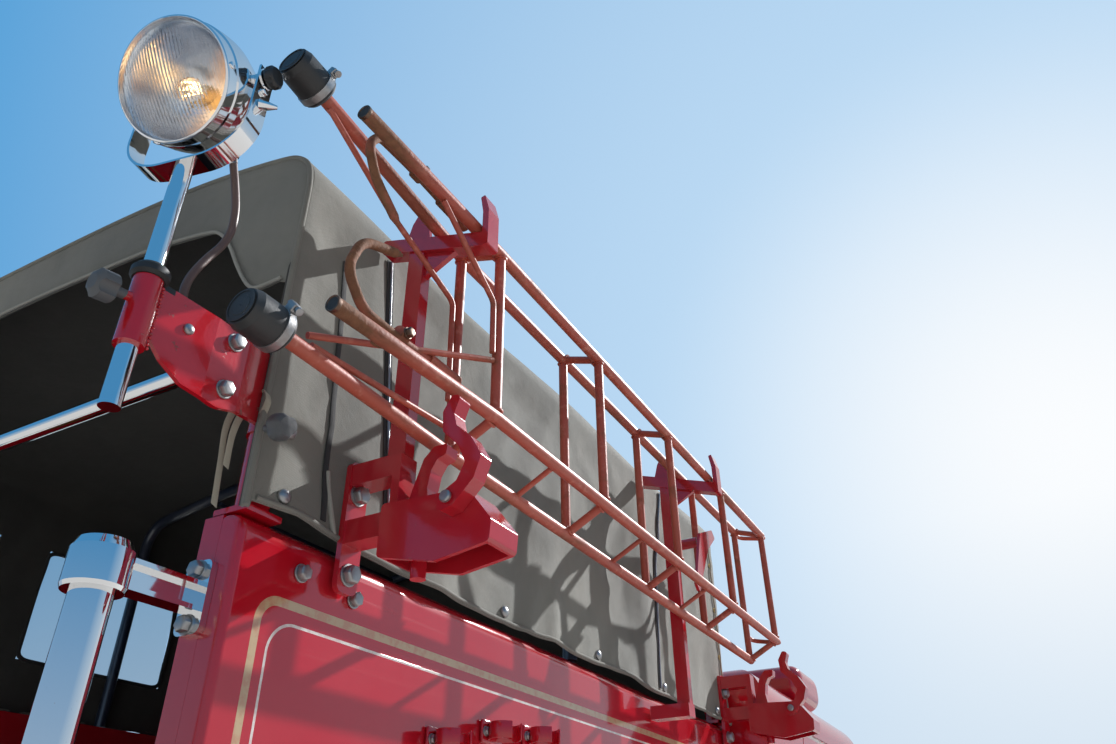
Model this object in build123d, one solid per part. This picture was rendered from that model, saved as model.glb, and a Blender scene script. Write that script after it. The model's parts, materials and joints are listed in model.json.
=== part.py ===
from build123d import *
import math
import os

# Light fire engine with a canvas-topped crew body, in millimetres.
# X runs to the vehicle's left, Y to its rear and Z up; the floor is Z = 0.
# The crew body and all that it carries are drawn over the crew body's own datum.

# Driving dimensions
bodyHalf = 650            # half width of the crew body and its canvas top
bodyRear = 1990           # rear face of the crew body
bodyFront = 410           # front face of the crew body
crewDatum = 100           # height of the crew body's own datum over the floor
bodyFloor = 700           # underside of the crew body, over its datum
bodyTop = 1500            # top of the crew body's side walls, over its datum
wallThick = 30
canvasThick = 6
eavesHeight = 2030        # where the canvas side meets the roof, before its corner is rounded
roofShoulder = 2080
roofCrown = 2088
cabHalf = 740
cabRear = 385
cabFront = -790
cabSill = 602
cabWaist = 1185
cabRoof = 1755
cabSkin = 24
bonnetFront = -1900
bonnetTop = 1230
bonnetHalf = 285
cowlHalf = 345
cowlTop = 1262
frontAxle = -1560
rearAxle = 1190
tyreRadius = 352
tyreWidth = 150
frontTrackHalf = 690
rearTrackHalf = 735
kingpinHalf = 560
railHalf = 340            # middle of each chassis rail
railTop = 600
railBase = 490
wingOuter = 840
stepHeight = 398

# Searchlight and ladder stations, right-hand side
poleX, poleY = -660, 2171
poleLow, poleHigh = 1529, 1840
lampPivot = (-660, 2171, 1950)
lampHeading = 11.8        # degrees that the lamp points outboard of straight back
lampTilt = 30.5           # degrees below level
yokeHalf = 80
cableReach = 86           # from the lamp's pivot to where the cable leaves its gland
ladderOuterX, ladderInnerX = -825, -757
rungStations = [1780, 1462, 1146, 830, 516]
outerRailZ = (1662, 1928)
outerRailEnds = ((1780, 2081, 1645), (1860, 2081, 1922))     # (bend y, end y, end z) of each outer rail
innerRailZ = (1626, 1950)
railRadius, rungRadius = 9, 7.5
rearBracket, frontClamp, frontArm = 1836, 460, 905
gap = 0.3                 # space between pieces that meet


def block(x0, x1, y0, y1, z0, z1):
    spot = Pos((x0 + x1) / 2, (y0 + y1) / 2, (z0 + z1) / 2)
    return spot * Box(abs(x1 - x0), abs(y1 - y0), abs(z1 - z0))


def rod(a, b, radius):
    a, b = Vector(*a), Vector(*b)
    face = Plane(origin=a, z_dir=b - a) * Circle(radius)
    return extrude(face, amount=(b - a).length)


def pipe(a, b, radius, bore):
    return rod(a, b, radius) - rod(a, b, bore)


def bentBar(points, radius, bend):
    # Round bar along the points; bend is one radius, or a list with one for each corner.
    route = FilletPolyline(*points, radius=bend)
    face = Plane(origin=points[0], z_dir=Vector(*points[1]) - Vector(*points[0])) * Circle(radius)
    return sweep(face, path=route)


def otherSide(solid):
    return mirror(solid, about=Plane.YZ)


def both(solid):
    return solid + otherSide(solid)


def outline(points, corner):
    line = FilletPolyline(*points, radius=corner, close=True) if corner else Polyline(*points, close=True)
    return make_face(line)


def plateAcross(points, y0, y1, corner=0):
    # Outline of (x, z) points, swept from y0 to y1.
    face = Plane.XZ * outline(points, corner)
    return Pos(0, y0, 0) * extrude(face, amount=y1 - y0, dir=(0, 1, 0))


def plateAlong(points, x0, x1, corner=0):
    # Outline of (y, z) points, swept from x0 to x1.
    face = Plane.YZ * outline(points, corner)
    return Pos(x0, 0, 0) * extrude(face, amount=x1 - x0, dir=(1, 0, 0))


def plateFlat(points, z0, z1, corner=0):
    # Outline of (x, y) points, raised from z0 to z1.
    return Pos(0, 0, z0) * extrude(outline(points, corner), amount=z1 - z0, dir=(0, 0, 1))


def turned(profile, corner=0):
    # Lathe shape of (radius, height) points round the Z axis.
    return revolve(Plane.XZ * outline(profile, corner), axis=Axis.Z)


def group(solids):
    # Separate pieces of one node, which meet but aren't fused.
    pieces = []
    for solid in solids:
        pieces.extend(solid.solids())
    return Compound(pieces)


def meets(first, second):
    # Whether the boxes round two rods of (start, end, radius) overlap.
    reach = first[2] + second[2]
    return all(min(a, b) - reach < max(c, d) and min(c, d) - reach < max(a, b)
               for a, b, c, d in zip(first[0], first[1], second[0], second[1]))


def coped(members):
    # Rods of (start, end, radius), each cut back to the surface of the ones before it.
    pieces = []
    for k, (start, end, radius) in enumerate(members):
        piece = rod(start, end, radius)
        for other in members[:k]:
            if meets(members[k], other):
                piece -= rod(other[0], other[1], other[2] + 0.05)
        pieces.append(piece.solids().sort_by(SortBy.VOLUME)[-1])
    return pieces


# Chassis
crossMembers = {-2090: 86, -1830: 86, -240: 50, 700: 86, 1500: 86, 1900: 86}
eyeRadius = 20
eyeSpot = (346.2, 2012, 545)


def chassisRail():
    depth = [(-2121, 545), (-2121, railTop), (1960, railTop), (1960, railBase), (-1800, railBase), (-1950, 535)]
    hollow = [(-2116, 551), (-2116, railTop - 6), (1961, railTop - 6), (1961, railBase + 6), (-1798, railBase + 6),
              (-1948, 541)]
    x0 = railHalf - 22.5
    return plateAlong(depth, x0, x0 + 45) - plateAlong(hollow, x0 - 1, x0 + 39)


def towEye():
    x, y, z = eyeSpot
    plate = plateAlong([(1880, z - 36), (2050, z - 36), (2050, z + 36), (1880, z + 36)], x - 10, x + 10, 30)
    return plate - Pos(x, y, z) * Rot(0, 90, 0) * Cylinder(eyeRadius, 30)


def leafPack(axle, seat):
    # Half-elliptic spring: leaves on one centre, each shorter than the one above it.
    camber, thick = 1900, 8
    leaves = []
    for leaf, half in enumerate((380, 310, 235, 160)):
        inner = camber + thick * leaf + gap
        outer = camber + thick * (leaf + 1)
        swing = half / camber
        ring = [(axle + r * math.sin(a), seat + camber - r * math.cos(a))
                for r, a in ((inner, -swing), (inner, 0), (inner, swing), (outer, swing), (outer, 0), (outer, -swing))]
        edges = [ThreePointArc(*ring[0:3]), Line(ring[2], ring[3]), ThreePointArc(*ring[3:6]), Line(ring[5], ring[0])]
        face = Plane.YZ * make_face(edges)
        leaves.append(Pos(railHalf - 25, 0, 0) * extrude(face, amount=50, dir=(1, 0, 0)))
    for end in (-352, 352):
        hanger = [(axle + end - 30, railBase - gap), (axle + end + 30, railBase - gap), (axle + end + 12, 481.5),
                  (axle + end - 12, 481.5)]
        leaves.append(plateAlong(hanger, railHalf - 20, railHalf + 20))
    leaves.append(block(railHalf - 30, railHalf + 30, axle - 50, axle + 50, tyreRadius + 38.5, seat - 4 * thick - gap))
    for y in (-34, 34):
        leaves.append(rod((railHalf - 33, axle + y, 388), (railHalf - 33, axle + y, seat + 16), 6))
        leaves.append(rod((railHalf + 33, axle + y, 388), (railHalf + 33, axle + y, seat + 16), 6))
    return leaves


def chassisFrame():
    side = [chassisRail(), towEye()]
    pieces = side + [otherSide(piece) for piece in side]
    for y, depth in crossMembers.items():
        pieces.append(block(-railHalf - 16.2, railHalf + 16.2, y, y + 50, railTop - 12 - depth, railTop - 12))
    return group(pieces)


def springs():
    side = leafPack(frontAxle, 440) + leafPack(rearAxle, 440)
    return group(side + [otherSide(piece) for piece in side])


def frontAxleBeam():
    drop = [(-500, 382), (-500, 322), (-400, 322), (-280, 300), (280, 300), (400, 322), (500, 322), (500, 382),
            (400, 382), (280, 360), (-280, 360), (-400, 382)]
    beam = plateAcross(drop, frontAxle - 25, frontAxle + 25, 12)
    groove = [(-470, 362), (-470, 342), (-400, 340), (-280, 318), (280, 318), (400, 340), (470, 342), (470, 362),
              (400, 364), (280, 342), (-280, 342), (-400, 364)]
    for y in (-26, 11):
        beam -= plateAcross(groove, frontAxle + y, frontAxle + y + 15)
    side = block(490, kingpinHalf - 20, frontAxle - 20, frontAxle + 20, tyreRadius - 25, tyreRadius + 25)
    eye = Pos(kingpinHalf, frontAxle, tyreRadius) * Cylinder(26, 56)
    eye -= Pos(kingpinHalf, frontAxle, tyreRadius) * Cylinder(12.05, 80)
    return beam + both(side + eye)


def rearAxleBeam():
    end = rearTrackHalf - 95
    casing = [(0, -end), (38, -end), (38, -230), (70, -205), (125, -70), (125, 70), (70, 205), (38, 230), (38, end),
              (0, end)]
    tube = Pos(0, rearAxle, tyreRadius) * Rot(0, 90, 0) * turned(casing)
    nose = turned([(0, 0), (95, 0), (95, 110), (55, 190), (0, 190)])
    tube += Pos(0, rearAxle, tyreRadius) * Rot(90, 0, 0) * nose
    drum = [(0, end + 0.1), (120, end + 0.1), (132, end + 8), (132, rearTrackHalf - 50.3), (0, rearTrackHalf - 50.3)]
    hub = Pos(0, rearAxle, tyreRadius) * Rot(0, 90, 0) * turned(drum)
    pin = rod((rearTrackHalf - 51, rearAxle, tyreRadius), (rearTrackHalf + 40, rearAxle, tyreRadius), 25)
    return tube + both(hub + pin)


def driveline():
    bell = Pos(0, -800, 560) * Rot(-90, 0, 0) * turned([(0, -100), (165, -100), (165, -60), (105, 20), (0, 20)])
    box = block(-85, 85, -778, -540, 460, 590)
    box = fillet(box.edges().filter_by(Axis.Y), 25)
    tail = Pos(0, -539.7, 512) * Rot(-90, 0, 0) * turned([(0, 0), (60, 0), (45, 90), (40, 170), (0, 170)])
    start, end = (0, -368, 505), (0, rearAxle - 196, tyreRadius + 8)
    return group([bell, box, tail, rod(start, end, 30)])


def engine():
    sump = block(-110, 110, -1660, -905.5, 440, 560)
    return block(-170, 170, -1700, -905.5, 560, 960) + sump + block(-90, 90, -1680, -930, 960, 1060)


def knuckle(side):
    x = side * kingpinHalf
    y, z = frontAxle, tyreRadius
    ear = [(x - side * 24, y - 30), (x + side * 62, y - 30), (x + side * 62, y + 30), (x - side * 24, y + 30)]
    fork = plateFlat(ear, z + 28.4, z + 50, 14) + plateFlat(ear, z - 50, z - 28.4, 14)
    back = block(min(x + side * 34, x + side * 62), max(x + side * 34, x + side * 62), y - 30, y + 30, z - 50, z + 50)
    pin = Pos(x, y, z) * Cylinder(12, 100)
    stub = rod((x + side * 60, y, z), (side * (frontTrackHalf + 40), y, z), 25)
    drum = rod((x + side * 55, y, z), (x + side * 76, y, z), 125)
    arm = plateFlat([(x - side * 12, y + 20), (x + side * 22, y + 20), (x + side * 2, y + 180), (x - side * 22, y + 180)],
                    z - 50, z - 36, 8)
    return fork + back + pin + stub + drum + arm


def tyre(x, y):
    r, half = tyreRadius, tyreWidth / 2
    profile = [(212, -46), (212, 46), (238, 66), (285, half), (330, half - 6), (r, half - 26), (r, 26 - half),
               (330, 6 - half), (285, -half), (238, -66)]
    return Pos(x, y, r) * Rot(0, 90, 0) * turned(profile, 6)


def wheel(side, x, y):
    # Pressed disc wheel with its hub cap on the outside.
    disc = [(25.05, -40), (90, -40), (90, 6), (118, 26), (150, 30), (190, 8), (195, -30), (195, -52), (205, -58),
            (211.7, -46), (211.7, 46), (205, 58), (195, 52), (195, 22), (150, 42), (112, 38), (84, 22), (80, 44),
            (66, 60), (30, 68), (0, 69), (0, 41), (25.05, 41)]
    solid = turned(disc)
    for spot in PolarLocations(134, 8):
        solid -= Pos(0, 0, 30) * spot * Cylinder(14.5, 80)
    for spot in PolarLocations(97, 5):
        solid += Pos(0, 0, 24) * spot * Cylinder(9, 26)
    return Pos(x, y, tyreRadius) * Rot(0, 90 * side, 0) * solid


def wingSection(inner, valance):
    # Crowned sheet of a wing, as (distance from the middle plane, height) lines with a rolled outer edge.
    mid = (inner + wingOuter) / 2 + 30
    low = -45 if inner < 500 else -16
    return make_face([
        ThreePointArc((inner, low), (mid, 0), (wingOuter - 28, -14)),
        ThreePointArc((wingOuter - 28, -14), (wingOuter - 8, -23), (wingOuter, -44)),
        Line((wingOuter, -44), (wingOuter, -valance)),
        Line((wingOuter, -valance), (wingOuter - 6, -valance)),
        Line((wingOuter - 6, -valance), (wingOuter - 6, -45)),
        ThreePointArc((wingOuter - 6, -45), (wingOuter - 13, -28), (wingOuter - 30, -20)),
        ThreePointArc((wingOuter - 30, -20), (mid, -6), (inner, low - 6)),
        Line((inner, low - 6), (inner, low))])


def sweptWing(section, route, bends):
    path = FilletPolyline(*[(0, y, z) for y, z in route], radius=bends)
    start = Vector(0, *route[0])
    ahead = Vector(0, *route[1]) - start
    return sweep(Plane(origin=start, x_dir=(-1, 0, 0), z_dir=ahead) * section, path=path)


def frontWings():
    route = [(-1992, 455), (-1992, 795), (-1290, 795), (-950, 395), (cabFront + 4, 395)]
    wing = sweptWing(wingSection(railHalf + 24, 88), route, [330, 400, 240])
    return wing + otherSide(wing)


def rearWings():
    route = [(762, 405), (762, 782), (1618, 782), (1618, 440)]
    wing = sweptWing(wingSection(bodyHalf + 4, 80), route, [370, 330])
    return wing + otherSide(wing)


def steps():
    # Running boards with their brackets, and the rear step.
    pieces = []
    tread = [(545, 384), (wingOuter, 384), (wingOuter, 400), (545, 400)]
    board = plateAcross(tread, cabFront + 6, rearAxle - 432, 6)
    for k in range(9):
        x = 572 + 28 * k
        board += block(x, x + 12, cabFront + 20, rearAxle - 450, 399, 403)
    pieces.append(board)
    for y in (-500, 100, 600):
        pieces.append(plateAcross([(railHalf + 22.8, 500), (railHalf + 22.8, 420), (530, 368), (720, 368), (720, 383.7),
                                   (540, 383.7), (400, 500)], y - 12, y + 12, 5))
    pieces += [otherSide(piece) for piece in pieces]
    plate = [(-560, 2000), (560, 2000), (560, 2190), (-560, 2190)]
    pieces.append(plateFlat(plate, 395, 419, 30) - plateFlat([(-540, 2015), (540, 2015), (540, 2176), (-540, 2176)],
                                                              411, 420, 20))
    for x in (-railHalf, railHalf):
        arm = [(1900, 489.7), (1900, 470), (1975, 470), (2000, 385), (2180, 385), (2180, 394.7), (2012, 394.7),
               (1990, 489.7)]
        pieces.append(plateAlong(arm, x - 15, x + 15, 4))
    return group(pieces)


# Front
def archLine(half, base, top, bend):
    # Rounded arch of (x, z) points, open at its foot.
    shoulder = top - half * 0.42
    points = [(-half, base), (-half, shoulder), (-half * 0.5, top), (half * 0.5, top), (half, shoulder), (half, base)]
    line = FilletPolyline(*points, radius=bend)
    return make_face([*line.edges(), Line(points[-1], points[0])])


def arch(half, base, top, bend, y0, y1):
    face = Plane.XZ * archLine(half, base, top, bend)
    return Pos(0, y0, 0) * extrude(face, amount=y1 - y0, dir=(0, 1, 0))


def grille():
    front, back = bonnetFront - 60, bonnetFront - 2
    shell = arch(bonnetHalf + 8, 560, bonnetTop, 90, front, back)
    shell = chamfer(shell.faces().sort_by(Axis.Y)[0].outer_wire().edges(), 12)
    shell -= arch(bonnetHalf - 38, 610, bonnetTop - 62, 62, front - 1, back - 18)
    bars = [block(-6, 6, front - 4, back - 19, 600, bonnetTop - 58)]
    for k in range(1, 9):
        x = 27 * k
        top = bonnetTop - 62 - max(0, x - 120) * 0.9
        bars.append(block(x - 4, x + 4, front + 8, back - 17.5, 606, top + 4))
        bars.append(block(-x - 4, -x + 4, front + 8, back - 17.5, 606, top + 4))
    for bar in bars:
        shell += bar
    cap = Pos(0, bonnetFront - 31, bonnetTop - 0.5) * turned([(0, 0), (24, 0), (26, 8), (22, 22), (0, 26)])
    return shell + cap


def bonnetPanel(inset, y0, y1):
    front = Pos(0, y0, 0) * (Plane.XZ * archLine(bonnetHalf - inset, 1065 - inset, bonnetTop - 8 - inset, 70 - inset))
    back = Pos(0, y1, 0) * (Plane.XZ * archLine(cowlHalf - inset, 1065 - inset, cowlTop - inset, 90 - inset))
    return loft([front, back])


def bonnet():
    y0, y1 = bonnetFront + 4, cabFront - 12
    shell = bonnetPanel(0, y0, y1) - bonnetPanel(5, y0 - 0.01, y1 + 0.01)
    ridge = loft([Pos(0, y0, 0) * (Plane.XZ * Pos(0, bonnetTop - 8) * Rectangle(12, 8)),
                  Pos(0, y1, 0) * (Plane.XZ * Pos(0, cowlTop) * Rectangle(12, 8))])
    barrel = rod((-40, y1 - 2, cowlTop + 1), (40, y1 - 2, cowlTop + 1), 7)
    return shell + ridge + barrel


def bonnetSides():
    lean = math.degrees(math.atan2(cowlHalf - bonnetHalf, cabFront - bonnetFront))
    length = (cabFront - 2 - bonnetFront) / math.cos(math.radians(lean))
    panel = block(-6, 0, 0, length, 602, 1060)
    for k in range(14):
        louvre = Pos(0, 250 + 52 * k, 860) * Rot(0, 0, 35) * Cylinder(9, 240)
        panel += louvre & block(-3, 30, 0, length, 700, 1000)
    for z in (622, 1040):
        panel += block(-1, 4, 20, length - 20, z - 5, z + 5)
    return both(Pos(bonnetHalf, bonnetFront, 0) * Rot(0, 0, -lean) * panel)


def bumper():
    # Spring bumper bar, bowed forward in plan.
    reach = ThreePointArc((-780, -2201, 545), (0, -2248, 545), (780, -2201, 545))
    turn = Plane(origin=(-780, -2201, 545), x_dir=Vector(0, 0, 1).cross(reach % 0), z_dir=reach % 0)
    bar = sweep(turn * RectangleRounded(10, 90, 4.9), path=Wire([reach]))
    pieces = [bar]
    for x in (-railHalf, railHalf):
        pieces.append(block(x - 20, x + 20, -2232, -2122, 552, 592))
    return group(pieces)


def headlamps():
    bowl = [(0, -52), (40, -44), (70, -22), (88, 8), (92, 40), (98, 42), (98, 54), (86, 54), (86, 44), (60, 24), (0, 16)]
    lamp = Pos(430, -1950, 900) * Rot(90, 0, 0) * turned(bowl)
    stem = rod((430, -1945, 835), (430, -1945, 767), 13.5)
    lamps = both(lamp + stem)
    bar = rod((-450, -1985, 765), (450, -1985, 765), 13)
    lug = block(415, 445, -1990, -1936, 758, 776)
    stay = block(248, 276, -1986, bonnetFront - 60.3, 756, 774)
    return lamps + both(lug + stay) + bar


def headlampGlass():
    dome = [(0, 45), (85.5, 45), (85.5, 52), (60, 61), (0, 66)]
    return both(Pos(430, -1950, 900) * Rot(90, 0, 0) * turned(dome))


# Cab
def cabForm(inset, base):
    # Side outline of the cab with its screen raked back, rounded at the roof.
    side = [(cabFront + inset, base), (cabFront + inset, 1215), (cabFront + 50 + inset, cabRoof - inset),
            (cabRear - inset, cabRoof - inset), (cabRear - inset, base)]
    solid = plateAlong(side, inset - cabHalf, cabHalf - inset)
    roofEdges = solid.edges().group_by(Axis.Z)[-1]
    return fillet(roofEdges, 95 - inset)


def cabShell():
    shell = cabForm(0, cabSill) - cabForm(cabSkin, cabSill + cabSkin)
    screen = [(-640, cabWaist + 50), (-640, cabRoof - 125), (-20, cabRoof - 125), (-20, cabWaist + 50)]
    shell -= both(plateAcross(screen, cabFront - 5, cabFront + 110, 40))
    rear = [(-320, 1330), (320, 1330), (320, cabRoof - 150), (-320, cabRoof - 150)]
    shell -= plateAcross(rear, cabRear - cabSkin - 5, cabRear + 5, 40)
    shell -= plateAlong(doorOutline(0), -900, 900, 35)
    shell -= block(-150, 150, cabFront - 1, cabFront + 25, 500, 760)
    floor, eaves, front, rear = cabSill + cabSkin, cabRoof - 118, cabFront + 113, cabRear - 355
    cuts = [(eaves, 2000, -900, 900), (cabSill, floor, -900, 900), (floor + gap, eaves - gap, -900, front),
            (floor + gap, eaves - gap, rear, 900), (floor + gap, cabSill + 58, front + gap, rear - gap)]
    pieces = [shell & block(-900, 900, y0, y1, z0, z1) for z0, z1, y0, y1 in cuts]
    seat = block(-650, 650, -320, 270, floor + gap, 799.5)
    hinges = [piece for side in (1, -1) for piece in hingeBarrels(side, 0)]
    return pieces + [seat] + hinges


def doorOutline(inset):
    y0, y1 = cabFront + 110 + inset, cabRear - 350 - inset
    z0, z1 = cabSill + 60 + inset, cabRoof - 125 - inset
    return [(y0, z0), (y1, z0), (y1, z1), (y0 + 6, z1)]


hingeX, hingeY = 750, -686
hingeHeights = (780, 1140)


def hingeBarrels(side, moving):
    # Knuckles of a door's hinges: the middle one is the door's, the outer two are the cab's.
    x = side * hingeX
    pieces = []
    for z in hingeHeights:
        spans = [(z - 20, z + 20)] if moving else [(z - 42, z - 20.5), (z + 20.5, z + 42)]
        for z0, z1 in spans:
            barrel = Pos(x, hingeY, (z0 + z1) / 2) * Cylinder(8, z1 - z0)
            y0, y1 = (hingeY, hingeY + 64) if moving else (hingeY - 52, hingeY)
            leaf = block(side * (cabHalf + 0.3), side * (cabHalf + 5), y0, y1, z0, z1)
            pieces.append(barrel + leaf)
    return pieces


def door(side):
    x0, x1 = sorted((side * (cabHalf - 24), side * cabHalf))
    panel = plateAlong(doorOutline(6), x0, x1, 30)
    window = [(cabFront + 176, cabWaist + 50), (cabRear - 410, cabWaist + 50), (cabRear - 410, cabRoof - 180),
              (cabFront + 180, cabRoof - 180)]
    panel -= plateAlong(window, x0 - 5, x1 + 5, 30)
    a, b = sorted((side * (cabHalf - 1), side * (cabHalf + 5)))
    panel += block(a, b, cabFront + 130, cabRear - 372, cabWaist - 4, cabWaist + 10)
    grip = bentBar([(side * (cabHalf - 2), cabRear - 480, 1130), (side * (cabHalf + 30), cabRear - 480, 1130),
                    (side * (cabHalf + 30), cabRear - 400, 1130)], 8, 14)
    panel += grip
    for leaf in hingeBarrels(side, 1):
        panel += leaf + block(*sorted((side * (cabHalf - 2), side * (cabHalf + 3))), hingeY + 20, hingeY + 62,
                              leaf.center().Z - 18, leaf.center().Z + 18)
    return panel


def doorGlass(side):
    x0, x1 = sorted((side * (cabHalf - 15), side * (cabHalf - 10)))
    pane = [(cabFront + 176.3, cabWaist + 50.3), (cabRear - 410.3, cabWaist + 50.3), (cabRear - 410.3, cabRoof - 180.3),
            (cabFront + 180.3, cabRoof - 180.3)]
    return plateAlong(pane, x0, x1, 29.7)


def cabGlass():
    rake = math.degrees(math.atan2(50, cabRoof - 1215))
    screen = [(-639.7, cabWaist + 51), (-639.7, cabRoof - 126), (-20.3, cabRoof - 126), (-20.3, cabWaist + 51)]
    slab = both(plateAcross(screen, -900, -500, 39.7))
    lean = [(cabFront + 10, 1215), (cabFront + 60, cabRoof), (cabFront + 66, cabRoof), (cabFront + 16, 1215)]
    rear = [(-319.7, 1330.3), (319.7, 1330.3), (319.7, cabRoof - 150.3), (-319.7, cabRoof - 150.3)]
    return (slab & plateAlong(lean, -700, 700)) + plateAcross(rear, cabRear - 14, cabRear - 8, 39.7)


steerHub = (330, -470, 1130)
steerFoot = (330, -750, 740)


def dashboard():
    board = plateAlong([(cabFront + 24.4, 1080), (cabFront + 110, 1080), (cabFront + 122, 1150), (cabFront + 90, 1205),
                        (cabFront + 24.4, 1205)], -690, 690, 14)
    return board + rod(steerFoot, (330, -474.5, 1123.5), 18)


def steeringWheel():
    hub, foot = Vector(*steerHub), Vector(*steerFoot)
    plane = Plane(origin=hub, z_dir=hub - foot)
    body = Torus(200, 12) + turned([(0, -12), (36, -12), (30, 10), (18, 16), (0, 18)])
    for k in range(3):
        body += Rot(0, 0, 120 * k + 90) * Pos(108, 0, 0) * Box(180, 15, 7)
    return plane.location * Pos(0, 0, 12.5) * body


def cabSeat():
    return fillet(block(-660, 660, -330, 150, 800, 920).edges(), 30)


def cabSeatBack():
    back = block(-660, 660, 160, 280, 900, 1400)
    return fillet(back.edges(), 30)


def roofLocker():
    # Round-ended locker across the rear of the cab roof, on two feet.
    side = [(-534, cabRoof + 12), (-265, cabRoof + 12), (-265, cabRoof + 130), (-534, cabRoof + 130)]
    drum = plateAlong(side, -690, 690, 50)
    ends = drum.faces().filter_by(Axis.X)
    drum = fillet(ends[0].edges() + ends[-1].edges(), 40)
    for x in (-180, 180):
        drum += plateAcross([(x - 22, cabRoof + 84), (x + 22, cabRoof + 84), (x + 22, cabRoof + 112),
                             (x - 22, cabRoof + 112)], -540, -530, 4)
    feet = [block(x - 20, x + 20, -480, -320, cabRoof + gap, cabRoof + 12 - gap) for x in (-400, 400)]
    return group([drum] + feet)


# Crew body
def bodyShell():
    inner = bodyHalf - wallThick
    pieces = [block(-bodyHalf, bodyHalf, bodyFront, bodyRear, bodyFloor, bodyFloor + 30)]
    for x in (-railHalf, railHalf):
        pieces.append(block(x - 22, x + 22, bodyFront + 20, bodyRear - 60, railTop + gap - crewDatum, bodyFloor - gap))
    pieces.append(block(gap - inner, inner - gap, bodyFront, bodyFront + 25, bodyFloor + 30.3, bodyTop - 2))
    return pieces


def bodySide():
    inner = bodyHalf - wallThick
    wall = block(inner, bodyHalf, bodyFront, bodyRear, bodyFloor + 30.3, bodyTop)
    rolled = wall.edges().filter_by(Axis.Y).group_by(Axis.Z)[-1].sort_by(Axis.X)
    wall = fillet(rolled[-1], 26)
    corner = wall.edges().filter_by(Axis.Z).group_by(Axis.Y)[-1].sort_by(Axis.X)
    wall = fillet(corner[-1], 9)
    flange = block(bodyHalf - 58, inner - gap, bodyRear - 24, bodyRear, bodyFloor + 30.3, bodyTop - 2)
    bead = block(bodyHalf - 4, bodyHalf + 4, bodyFront + 4, bodyRear - 14, bodyFloor + 30.3, bodyFloor + 44)
    return [wall + bead, flange]


def bench():
    outer = bodyHalf - wallThick - 0.5
    y0, y1 = bodyFront + 40, bodyRear - 330
    box = plateAcross([(300, bodyFloor + 30.3), (300, bodyFloor + 90), (272, bodyFloor + 100), (272, 1150),
                       (outer, 1150), (outer, bodyFloor + 30.3)], y0, y1)
    lid = plateAcross([(256, 1156), (outer, 1156), (outer, 1180), (256, 1180)], y0 - 4, y1 + 4, 4)
    return [box, lid]


def cornerPosts():
    # Sockets for the canvas bows, each on a foot plate, with a clamp knob on the rear pair.
    pieces = []
    for y in (1962, 455):
        socket = pipe((628, y, bodyTop + 6), (628, y, 1612), 19, 13.3)
        socket += pipe((628, y, 1600), (628, y, 1622), 21.5, 13.3)
        foot = block(600, 649, y - 26, y + 26, bodyTop + 0.3, bodyTop + 7)
        pieces.append(socket + foot)
    pieces.append(clampKnob((628, 1941, 1590), (0, -1, 0), 17))
    return pieces


def clampKnob(spot, heading, size):
    # Three-lobed hand knob on a short screw.
    body = turned([(5, 0), (5, 18), (size, 20), (size, 36), (size * 0.5, 40), (0, 40), (0, 0)])
    for place in PolarLocations(size * 1.25, 3):
        body -= Pos(0, 0, 30) * place * Cylinder(size * 0.55, 30)
    return Plane(origin=spot, z_dir=heading).location * body


def crewBody():
    side = bodySide() + bench() + cornerPosts()
    return group(bodyShell() + side + [otherSide(piece) for piece in side])


def benchCushion():
    outer = bodyHalf - wallThick - 8
    return fillet(block(262, outer, bodyFront + 45, bodyRear - 335, 1180.5, 1245).edges(), 18)


def canopyBows():
    bows = []
    for y in (1962, 1208, 455):
        low = 1501 if y == 1208 else 1520
        leg = rod((628, y, low), (628, y, 1938), 13)
        bend = bentBar([(628, y, 1938 + gap), (628, y, 2000), (568, y, 2009.3)], 13, 66)
        bows += [leg, otherSide(leg), bend, otherSide(bend)]
        bows.append(bentBar([(-567.7, y, 2009.4), (-325, y, 2047), (0, y, 2055), (325, y, 2047), (567.7, y, 2009.4)], 13,
                            [1200, 2500, 1200]))
    for x in (-400, 0, 400):
        bows.append(rod((x, 475, 2025), (x, 1190, 2025), 6))
    return group(bows)


def canopySection(inset, base):
    side, eaves = bodyHalf + 6 - inset, eavesHeight - inset * 0.9
    shoulder, crown = roofShoulder - inset, roofCrown - inset
    points = [(-side, base), (-side, eaves), (-330, shoulder), (0, crown), (330, shoulder), (side, eaves), (side, base)]
    line = FilletPolyline(*points, radius=[62 - inset, 1500, 2500, 1500, 62 - inset])
    return make_face([*line.edges(), Line(points[-1], points[0])])


def canopy():
    y0, y1 = bodyFront - 6, bodyRear + 6
    solid = Pos(0, y0, 0) * extrude(Plane.XZ * canopySection(0, bodyTop), amount=y1 - y0, dir=(0, 1, 0))
    inner = Plane.XZ * canopySection(canvasThick, bodyTop - 5)
    solid -= Pos(0, bodyFront, 0) * extrude(inner, amount=bodyRear - bodyFront, dir=(0, 1, 0))
    valance = [(-700, bodyTop - 5), (-700, 1806), (-648, 1806), (-580, 1818), (-535, 1895), (-500, 1950), (-460, 1966),
               (-300, 1985), (0, 1996), (300, 1985), (460, 1966), (500, 1950), (535, 1895), (580, 1818), (648, 1806),
               (700, 1806), (700, bodyTop - 5)]
    solid -= plateAcross(valance, bodyRear - 0.5, bodyRear + 10, [1, 1, 4, 18, 40, 20, 15, 400, 1500, 400, 15, 20, 40, 18,
                                                                 4, 1, 1])
    for y0, y1 in ((560, 940), (1060, 1440), (1560, 1840)):
        solid -= plateAlong([(y0, 1610), (y1, 1610), (y1, 1860), (y0, 1860)], 600, 700, 30)
    return solid


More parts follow.
